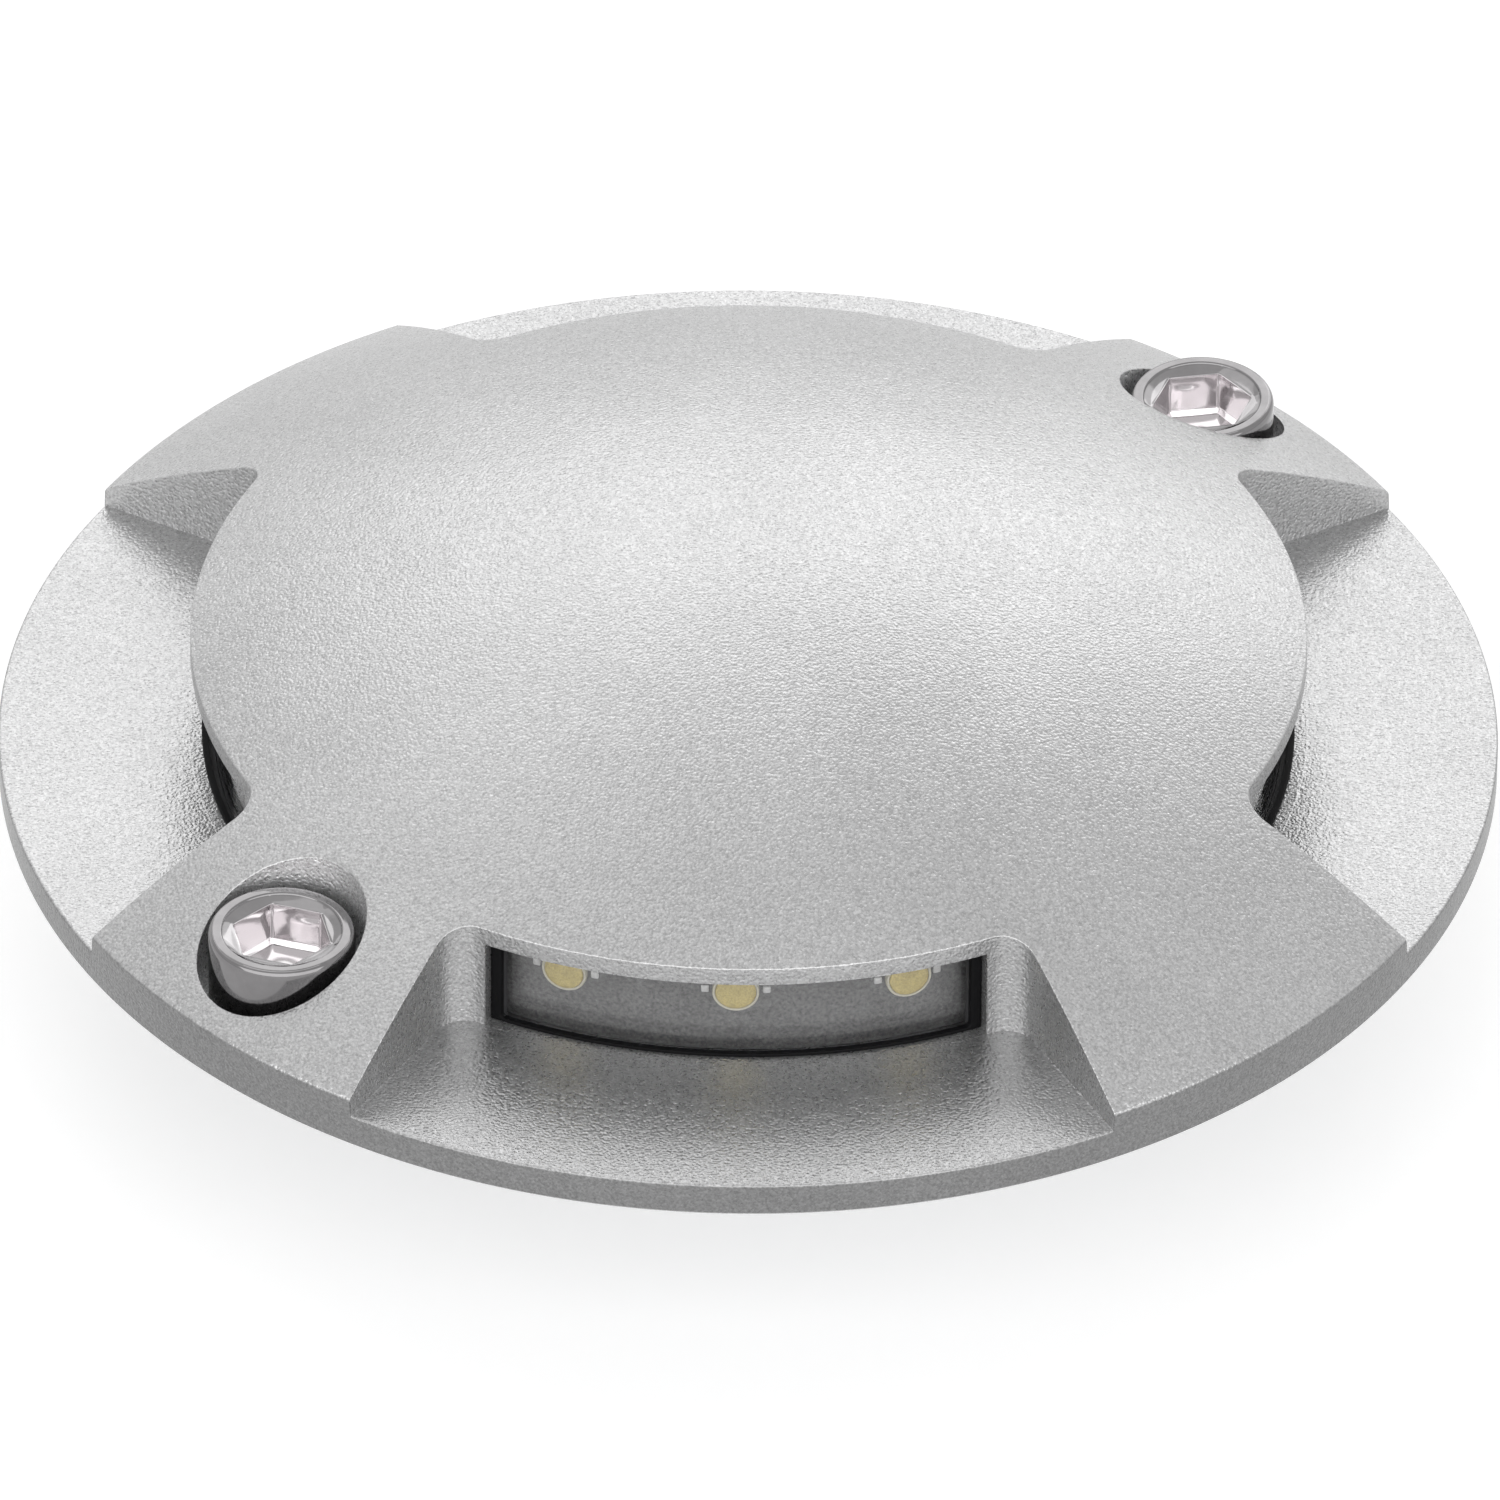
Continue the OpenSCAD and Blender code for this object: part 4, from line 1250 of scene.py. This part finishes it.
@dataclass
class GasketBead:
    """Rounded bead of a window's gasket, which stands up past the sill and along the window's ends."""

    in_r: float = 50.41
    out_r: float = 51.02
    half: float = 26.25
    low_z: float = 3.73
    high_z: float = 12.8
    sill_w: float = 0.36
    end_w: float = 1.08
    corner_r: float = 0.4
    outer_corner_r: float = 0.05
    bend_steps: int = 5
    end_steps: int = 14
    long_steps: int = 90
    section: tuple[Spot, ...] = ((0.0, 1.0), (0.0, 0.3), (0.03, 0.12), (0.12, 0.03), (0.3, 0.0), (0.7, 0.0),
                                 (0.88, 0.03), (0.97, 0.12), (1.0, 0.3), (1.0, 1.0))

    def loop(self, share: float) -> list[Spot]:
        """The line round the bead, between its outer and its inner edge.

        Args:
            share: Way from the outer to the inner edge, from 0 to 1.

        Returns:
            Distance along the window and height of each point, in mm.
        """
        corner = self.outer_corner_r + (self.corner_r - self.outer_corner_r) * share
        x = math.radians(self.half) * self.out_r - self.end_w * share - corner
        low, high = self.low_z + self.sill_w * share + corner, self.high_z - self.sill_w * share - corner
        bends = ((x, low, -90.0, self.end_steps), (x, high, 0.0, self.long_steps),
                 (-x, high, 90.0, self.end_steps), (-x, low, 180.0, self.long_steps))
        points: list[Spot] = []
        for k, (cx, cz, first, steps) in enumerate(bends):
            for i in range(self.bend_steps + 1):
                dx, dz = at_angle(corner, first + 90 * i / self.bend_steps)
                points.append((cx + dx, cz + dz))
            after = bends[(k + 1) % 4]
            dx, dz = at_angle(corner, after[2])
            end = Vector((after[0] + dx, after[1] + dz))
            start = Vector(points[-1])
            points += [tuple(start.lerp(end, i / steps)) for i in range(1, steps)]
        return points

    def build(self, side: Side, paint: Paint) -> None:
        """Makes one window's bead.

        Args:
            side: Which window.
            paint: Hands out the materials.
        """
        points: list[Point] = []
        for share, depth in self.section:
            radius = self.out_r - (self.out_r - self.in_r) * depth
            for along, z in self.loop(share):
                points.append((*at_angle(radius, side.value + math.degrees(along / self.out_r)), z))
        rows = len(self.section)
        count = len(points) // rows
        faces = ring_faces(rows, count) + joining_faces(rows, count)
        bead = solid("gasket_bead_" + side.label, points, faces, 50.0)
        paint.put(bead, paint.palette.rubber)
        ride_as(bead, "light_body", "black_rubber")


@dataclass
class LightEngine:
    """LEDs and solder pads on the boards behind the four windows."""

    board_r: float = 46.6
    led_z: float = 8.75
    led_d: float = 4.3
    led_t: float = 0.8
    rim_w: float = 0.24
    step: float = 19.4
    count: int = 3
    pad_w: float = 0.75
    pad_t: float = 0.2
    pad_out: float = 2.8

    def disc(self, name: str, profile: Sequence[Spot]) -> bpy.types.Object:
        """A round item that lies on the board, with its axis outwards.

        Args:
            name: The object's name.
            profile: Radius and distance from the board of each point, in mm.

        Returns:
            The item, with +X outwards.
        """
        item = lathe(name, profile, count=48, sharp=40.0)
        item.data.transform(Matrix.Rotation(math.pi / 2, 4, "Y"))
        return item

    def pad(self, name: str) -> bpy.types.Object:
        """One domed solder pad, with +X outwards.

        Args:
            name: The object's name.

        Returns:
            The pad.
        """
        half, thick = self.pad_w / 2, self.pad_t
        rows = ((half, 0.0), (half, thick * 0.45), (half * 0.86, thick * 0.8), (half * 0.5, thick))
        count = 32
        points: list[Point] = []
        for size, out in rows:
            for i in range(count):
                x, y = at_angle(1.0, 360 * i / count + 5.6)
                grow = size / max(abs(x), abs(y)) ** 0.8
                points.append((out, max(-size, min(size, x * grow)), max(-size, min(size, y * grow))))
        faces = ring_faces(len(rows), count) + pole_faces(len(rows), count, len(points))
        points += [(0.0, 0.0, 0.0), (thick, 0.0, 0.0)]
        return solid(name, points, faces, 50.0)

    def build(self, side: Side, array: ArcArray, paint: Paint) -> None:
        """Makes the LEDs and pads of one window.

        Args:
            side: Which window.
            array: The nodes that repeat them.
            paint: Hands out the materials.
        """
        radius, thick = self.led_d / 2, self.led_t
        inner = radius - self.rim_w
        first = side.value - self.step * (self.count - 1) / 2
        body = self.disc("led_body_" + side.label, [
            (0.0, 0.0), (radius, 0.0), (radius, thick * 0.5), (radius - 0.06, thick * 0.62), (inner, thick * 0.62),
            (inner - 0.04, thick * 0.4), (0.0, thick * 0.4)])
        array.repeat(body, paint.of(paint.palette.ceramic), self.count, first, self.step, self.board_r, self.led_z)
        ride_as(body, "light_body", "led_phosphor", "leds_" + side.label)
        dome = self.disc("led_phosphor_" + side.label, [(0.0, thick * 0.42), (inner - 0.05, thick * 0.42)] + [
            ((inner - 0.05) * math.cos(math.radians(10 * i)), thick * (0.6 + 0.38 * math.sin(math.radians(10 * i))))
            for i in range(0, 9)] + [(0.0, thick * 0.98)])
        array.repeat(dome, paint.of(paint.palette.phosphor), self.count, first, self.step, self.board_r, self.led_z)
        ride_as(dome, "light_body", "led_phosphor", "leds_" + side.label)
        swing = math.degrees(math.asin(self.pad_out / self.board_r))
        pads = []
        for sign in (-1, 1):
            pad = self.pad("solder_" + side.label)
            pads.append(array.repeat(pad, paint.of(paint.palette.solder), self.count, first + sign * swing, self.step,
                                     self.board_r, self.led_z))
        gather(pads[0], pads[1:])
        ride_as(pads[0], "light_body", "solder_white", "solder_pads_" + side.label)


@dataclass
class Underside:
    """Detailed fasteners under the flange."""

    circle_r: float = 38.5
    shank_r: float = 2.0
    top_z: float = 8.5
    seat_z: float = -5.5
    head_r: float = 3.6
    head_h: float = 2.6
    socket_flat: float = 1.386
    socket_depth: float = 1.56
    mouth_r: float = 2.1
    count: int = 48

    def build(self, array: ArcArray, paint: Paint) -> None:
        """Makes the four base screws.

        Args:
            array: The nodes that repeat them.
            paint: Hands out the materials.
        """
        low = self.seat_z - self.head_h
        outside = [(self.shank_r - 0.35, self.top_z), (self.shank_r, self.top_z - 0.4), (self.shank_r, self.seat_z),
                   (self.head_r - 0.08, self.seat_z), (self.head_r, self.seat_z - 0.1), (self.head_r, low + 0.45),
                   (self.head_r - 0.13, low + 0.13), (self.head_r - 0.45, low), (self.mouth_r, low)]
        count = self.count
        points: list[Point] = [(*at_angle(r, 360 * i / count), z) for r, z in outside for i in range(count)]
        for depth, share in ((0.25, 1.0), (self.socket_depth, 1.0), (self.socket_depth + 0.3, 0.35)):
            for i in range(count):
                away = (360 * i / count) % 60
                hexagon = self.socket_flat / math.cos(math.radians(abs(away - 30)))
                points.append((*at_angle(hexagon * share, 360 * i / count), low + depth))
        rows = len(outside) + 3
        faces = ring_faces(rows, count) + pole_faces(rows, count, len(points))
        points += [(0.0, 0.0, self.top_z), (0.0, 0.0, low + self.socket_depth + 0.35)]
        screws = solid("base_cap_screws", points, faces)
        array.repeat(screws, paint.of(paint.palette.zinc), 4, 45.0, 90.0, self.circle_r, 0.0, 60.0)
        ride_as(screws, "light_body", "zinc_screw", "base_screws")


@dataclass
class SideParts:
    """Cable gland and breather plug on the pot's side, turned about level axes."""

    axis_z: float = -14.25
    gland_turn: float = 90.0
    vent_turn: float = 150.0
    flat: float = 7.0
    corner_r: float = 8.083
    face_at: float = 36.0
    hex_end: float = 40.0
    nut_at: float = 41.0
    nut_end: float = 49.7
    body_end: float = 47.0
    bore_r: float = 3.55
    thread_r: float = 5.97
    thread_depth: float = 0.42
    pitch: float = 1.5
    ribs: int = 24
    rib: float = 0.24
    count: int = 144

    def hexagon(self, limit: float) -> Callable[[float], float]:
        """A hexagon's radius by angle, cut off at a turned chamfer's radius."""
        return lambda angle: min(limit, self.flat / math.cos(math.radians(angle % 60 - 30)))

    def thread(self, along: float) -> Callable[[float], float]:
        """The thread's radius by angle at a distance along its axis."""
        return lambda angle: self.thread_r - self.thread_depth * abs(
            2 * ((along / self.pitch - angle / 360) % 1.0) - 1)

    def ribbed(self, radius: float) -> Callable[[float], float]:
        """The radius of a ribbed grip by angle."""
        return lambda angle: radius - self.rib * max(0.0, math.cos(math.radians(self.ribs * angle))) ** 2

    def plain(self, radius: float) -> Callable[[float], float]:
        """The same radius at every angle."""
        return lambda angle: radius

    def sweep(self, name: str, rows: Sequence[tuple[float, Callable[[float], float]]], turn: float,
              ends: Spot | None = None) -> bpy.types.Object:
        """Turns rows round a level axis into a closed solid.

        Args:
            name: The object's name.
            rows: Distance along the axis, in mm, and the radius by angle of each row, in order.
            turn: The axis's angle round the part, in degrees.
            ends: Distances of the poles that close the first and last row; without them the last row
                joins the first.

        Returns:
            The new object.
        """
        along, across = Vector((*at_angle(1.0, turn), 0.0)), Vector((*at_angle(1.0, turn - 90), 0.0))
        base = Vector((0.0, 0.0, self.axis_z))
        points: list[Point] = []
        for way, shape in rows:
            for i in range(self.count):
                angle = 360 * i / self.count
                x, z = at_angle(shape(angle), angle)
                points.append(tuple(base + along * way + across * x + Vector((0.0, 0.0, z))))
        faces = ring_faces(len(rows), self.count)
        if ends is None:
            faces += joining_faces(len(rows), self.count)
        else:
            faces += pole_faces(len(rows), self.count, len(points))
            points += [tuple(base + along * end) for end in ends]
        return solid(name, points, faces, 30.0)

    def build_nut(self, paint: Paint) -> None:
        """Makes the gland's nut: chamfered hexagon, rounded end and countersunk mouth.

        Args:
            paint: Hands out the materials.
        """
        pocket_r, pocket_end = 6.1, self.nut_end - 1.5
        rows = [(self.nut_at, self.hexagon(7.05)), (self.nut_at + 0.6, self.hexagon(self.corner_r)),
                (self.nut_end - 1.5, self.hexagon(self.corner_r)), (self.nut_end - 0.9, self.hexagon(7.5)),
                (self.nut_end - 0.45, self.plain(6.8)), (self.nut_end - 0.12, self.plain(6.2)),
                (self.nut_end, self.plain(5.6)), (self.nut_end, self.plain(4.3)), (self.nut_end - 0.1, self.plain(4.0)),
                (self.nut_end - 0.45, self.plain(self.bore_r + 0.05)), (pocket_end, self.plain(self.bore_r + 0.05)),
                (pocket_end, self.plain(pocket_r)), (self.nut_at + 0.5, self.plain(pocket_r)),
                (self.nut_at, self.plain(pocket_r + 0.35))]
        nut = self.sweep("gland_dome_nut", rows, self.gland_turn)
        paint.put(nut, paint.palette.nickel)
        ride_as(nut, "gland_nut", "nickel_brass", "gland_nut")

    def build_body(self, paint: Paint) -> None:
        """Makes the gland's body: chamfered hexagon, and a thread for the nut.

        Args:
            paint: Hands out the materials.
        """
        seal_r, inner = 4.8, 29.5
        rows = [(inner, self.plain(5.6)), (inner + 0.4, self.plain(6.0)), (self.face_at, self.plain(6.0)),
                (self.face_at, self.hexagon(7.3)), (self.face_at + 0.45, self.hexagon(self.corner_r)),
                (self.hex_end - 0.6, self.hexagon(self.corner_r)), (self.hex_end, self.hexagon(7.05)),
                (self.hex_end, self.plain(5.5))]
        steps = 36
        first, last = self.hex_end + 0.3, self.body_end - 0.3
        for i in range(steps + 1):
            way = first + (last - first) * i / steps
            rows.append((way, self.thread(way)))
        rows += [(self.body_end, self.plain(5.3)), (self.body_end, self.plain(seal_r)),
                 (self.nut_at, self.plain(seal_r)), (self.nut_at, self.plain(self.bore_r)),
                 (inner, self.plain(self.bore_r))]
        body = self.sweep("gland_hex_body", rows, self.gland_turn)
        paint.put(body, paint.palette.nickel)
        ride_as(body, "light_body", "nickel_brass", "gland_body")

    def build_vent(self, paint: Paint) -> None:
        """Makes the breather plug with its ribbed cap.

        Args:
            paint: Hands out the materials.
        """
        rows = [(34.0, self.plain(1.5)), (31.5, self.plain(1.5)), (31.5, self.plain(3.0)), (35.5, self.plain(3.0)),
                (35.5, self.plain(4.15)), (35.75, self.ribbed(4.5)), (36.9, self.ribbed(4.5)),
                (37.25, self.ribbed(4.3)), (37.45, self.plain(3.8)), (37.5, self.plain(3.4)),
                (37.5, self.plain(2.5)), (37.42, self.plain(2.38)), (37.15, self.plain(2.3))]
        vent = self.sweep("breather_plug", rows, self.vent_turn, (34.0, 37.15))
        paint.put(vent, paint.palette.black)
        ride_as(vent, "light_body", "black_plastic", "vent_plug")

    def build(self, paint: Paint) -> None:
        """Makes the three parts.

        Args:
            paint: Hands out the materials.
        """
        self.build_nut(paint)
        self.build_body(paint)
        self.build_vent(paint)


class Dresser:
    """Gives every CAD node that stays its finish and its smooth shading."""

    def __init__(self, palette: Palette) -> None:
        """Lists which finish each node gets.

        Args:
            palette: The light's finishes.
        """
        self.finishes: dict[str, Finish] = {
            "cover": palette.coat, "led_carrier": palette.carrier, "carrier_screws": palette.zinc,
            "base_plate": palette.turned, "base_seal": palette.rubber, "base_screws": palette.zinc,
            "distribution_board": palette.green, "board_spacers": palette.brass, "board_screws": palette.zinc,
            "jumper_leads": palette.red, "supply_leads": palette.blue, "wire_grommet": palette.rubber,
            "driver_pot": palette.turned, "pot_seal": palette.rubber, "driver": palette.potting,
            "terminal_block": palette.terminal, "terminal_screws": palette.zinc, "earth_screw": palette.zinc,
            "vent_plug": palette.black, "gland_body": palette.nickel, "gland_seal": palette.rubber,
            "gland_clamp_ring": palette.pale, "gland_nut": palette.nickel}
        for side in Side:
            self.finishes["window_glass_" + side.label] = palette.glass
            self.finishes["window_gasket_" + side.label] = palette.gasket
            self.finishes["led_board_" + side.label] = palette.board
            self.finishes["leds_" + side.label] = palette.phosphor
            self.finishes["solder_pads_" + side.label] = palette.solder
        for corner in Corner:
            self.finishes["washer_" + corner.label] = palette.pale
            self.finishes["fixing_screw_" + corner.label] = palette.steel

    def dress(self, paint: Paint) -> None:
        """Dresses every node of the frame.

        Args:
            paint: Hands out the materials.
        """
        edges = SoftEdges()
        for name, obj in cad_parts.items():
            paint.put(obj, self.finishes[name])
            if not obj.hide_render:
                edges.put(obj)
                LOG.info("%s: dressed as %s", name, self.finishes[name].name)


@dataclass(frozen=True)
class Softbox:
    """A soft lamp by the direction that it stands in and the angles that it fills, in degrees."""

    name: str
    around: float
    up: float
    wide: float
    high: float
    radiance: float
    distance: float = 1.8

    def build(self) -> None:
        """Makes the lamp, facing the object; direction 0 is behind the object and 90 to its right."""
        around, up = math.radians(self.around), math.radians(self.up)
        place = Vector((math.sin(around) * math.cos(up), math.cos(around) * math.cos(up), math.sin(up)))
        width, height = (2 * self.distance * math.tan(math.radians(a / 2)) for a in (self.wide, self.high))
        data = bpy.data.lights.new(self.name, "AREA")
        data.shape, data.size, data.size_y = "RECTANGLE", width, height
        data.energy = self.radiance * math.pi * width * height
        lamp = bpy.data.objects.new(self.name, data)
        lamp.location = place * self.distance
        lamp.rotation_mode = "QUATERNION"
        lamp.rotation_quaternion = (-place).to_track_quat("-Z", "Y")
        bpy.context.scene.collection.objects.link(lamp)


@dataclass
class Studio:
    """Pale floor, white surround, soft lamps and the camera at the photograph's angle."""

    floor_z: float = -23.05
    floor_size: float = 30.0
    floor_colour: Colour = (0.8, 0.8, 0.8)
    floor_lift: float = 0.4
    sky_light: float = 0.5
    distance: float = 2.34118
    elevation: float = 36.7792
    azimuth: float = 0.38
    roll: float = 0.3747
    lens: float = 601.21
    shift: Spot = (0.00135, 0.00477)
    softboxes: tuple[Softbox, ...] = (
        Softbox("back_softbox", 0.0, 35.0, 40.0, 26.0, 1.45),
        Softbox("low_softbox", 0.0, 19.0, 100.0, 9.0, 0.7),
        Softbox("right_softbox", 27.0, 24.0, 24.0, 30.0, 0.83),
        Softbox("left_softbox", -42.0, 57.0, 36.0, 30.0, 0.45),
        Softbox("front_softbox", 180.0, 32.0, 112.0, 54.0, 1.5))

    def build_camera(self) -> None:
        """Places the camera."""
        data = bpy.data.cameras.new("photo_camera")
        data.lens, data.sensor_width = self.lens, 36.0
        data.shift_x, data.shift_y = self.shift
        data.clip_start, data.clip_end = 0.05, 100.0
        up, around = math.radians(self.elevation), math.radians(self.azimuth)
        place = Vector((math.sin(around) * math.cos(up), -math.cos(around) * math.cos(up), math.sin(up)))
        camera = bpy.data.objects.new("photo_camera", data)
        camera.location = place * self.distance
        camera.rotation_mode = "QUATERNION"
        camera.rotation_quaternion = (-place).to_track_quat("-Z", "Y") @ Quaternion(
            (0, 0, 1), math.radians(self.roll))
        bpy.context.scene.collection.objects.link(camera)
        bpy.context.scene.camera = camera

    def seen(self, graph: Graph) -> bpy.types.NodeSocket:
        """Tells the rays that show the background: to the camera, off a mirror or through glass.

        Args:
            graph: The nodes that need it.

        Returns:
            A value of 1 for those rays and 0 for the rest.
        """
        path = graph.add("ShaderNodeLightPath").outputs
        some = graph.math("MAXIMUM", path["Is Camera Ray"], path["Is Glossy Ray"])
        return graph.math("MAXIMUM", some, path["Is Transmission Ray"])

    def build_floor(self) -> None:
        """Makes the floor, which takes the object's shadow and else shows white."""
        half = self.floor_size / 2 / MM
        points = [(-half, -half, self.floor_z), (half, -half, self.floor_z), (half, half, self.floor_z),
                  (-half, half, self.floor_z)]
        mesh = bpy.data.meshes.new("studio_floor")
        mesh.from_pydata([Vector(p) * MM for p in points], [], [(0, 1, 2, 3)])
        floor = bpy.data.objects.new("studio_floor", mesh)
        bpy.context.scene.collection.objects.link(floor)
        material = bpy.data.materials.new("studio_floor")
        material.use_nodes = True
        graph = Graph(material.node_tree)
        paint = graph.add("ShaderNodeBsdfDiffuse", {"Color": (*self.floor_colour, 1.0)})
        lift = graph.math("MULTIPLY", self.seen(graph), self.floor_lift)
        glow = graph.add("ShaderNodeEmission", {"Strength": lift})
        both = graph.add("ShaderNodeAddShader", {0: paint.outputs[0], 1: glow.outputs[0]})
        graph.add("ShaderNodeOutputMaterial", {"Surface": both.outputs[0]})
        mesh.materials.append(material)

    def build_world(self) -> None:
        """Makes the surround: white where it is seen, and a plain soft light."""
        world = bpy.data.worlds.new("studio")
        world.use_nodes = True
        bpy.context.scene.world = world
        graph = Graph(world.node_tree)
        strength = graph.spread(self.seen(graph), self.sky_light, 1.0, 0.0, 1.0)
        sky = graph.add("ShaderNodeBackground", {"Color": (1.0, 1.0, 1.0, 1.0), "Strength": strength})
        graph.add("ShaderNodeOutputWorld", {"Surface": sky.outputs[0]})

    def build(self) -> None:
        """Makes the whole studio."""
        bpy.context.scene.view_settings.view_transform = "Standard"
        self.build_camera()
        self.build_floor()
        self.build_world()
        for softbox in self.softboxes:
            softbox.build()


def main() -> None:
    """Builds every piece in order."""
    logging.basicConfig(level=logging.INFO, format="%(name)s: %(message)s")
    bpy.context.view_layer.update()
    paint, array = Paint(Palette()), ArcArray()
    Studio().build()
    Cover().build(paint)
    for corner in Corner:
        FixingScrew().build(corner, paint)
    for side in Side:
        GasketBead().build(side, paint)
        LightEngine().build(side, array, paint)
    Underside().build(array, paint)
    SideParts().build(paint)
    Dresser(paint.palette).dress(paint)


if __name__ == "__main__":
    main()
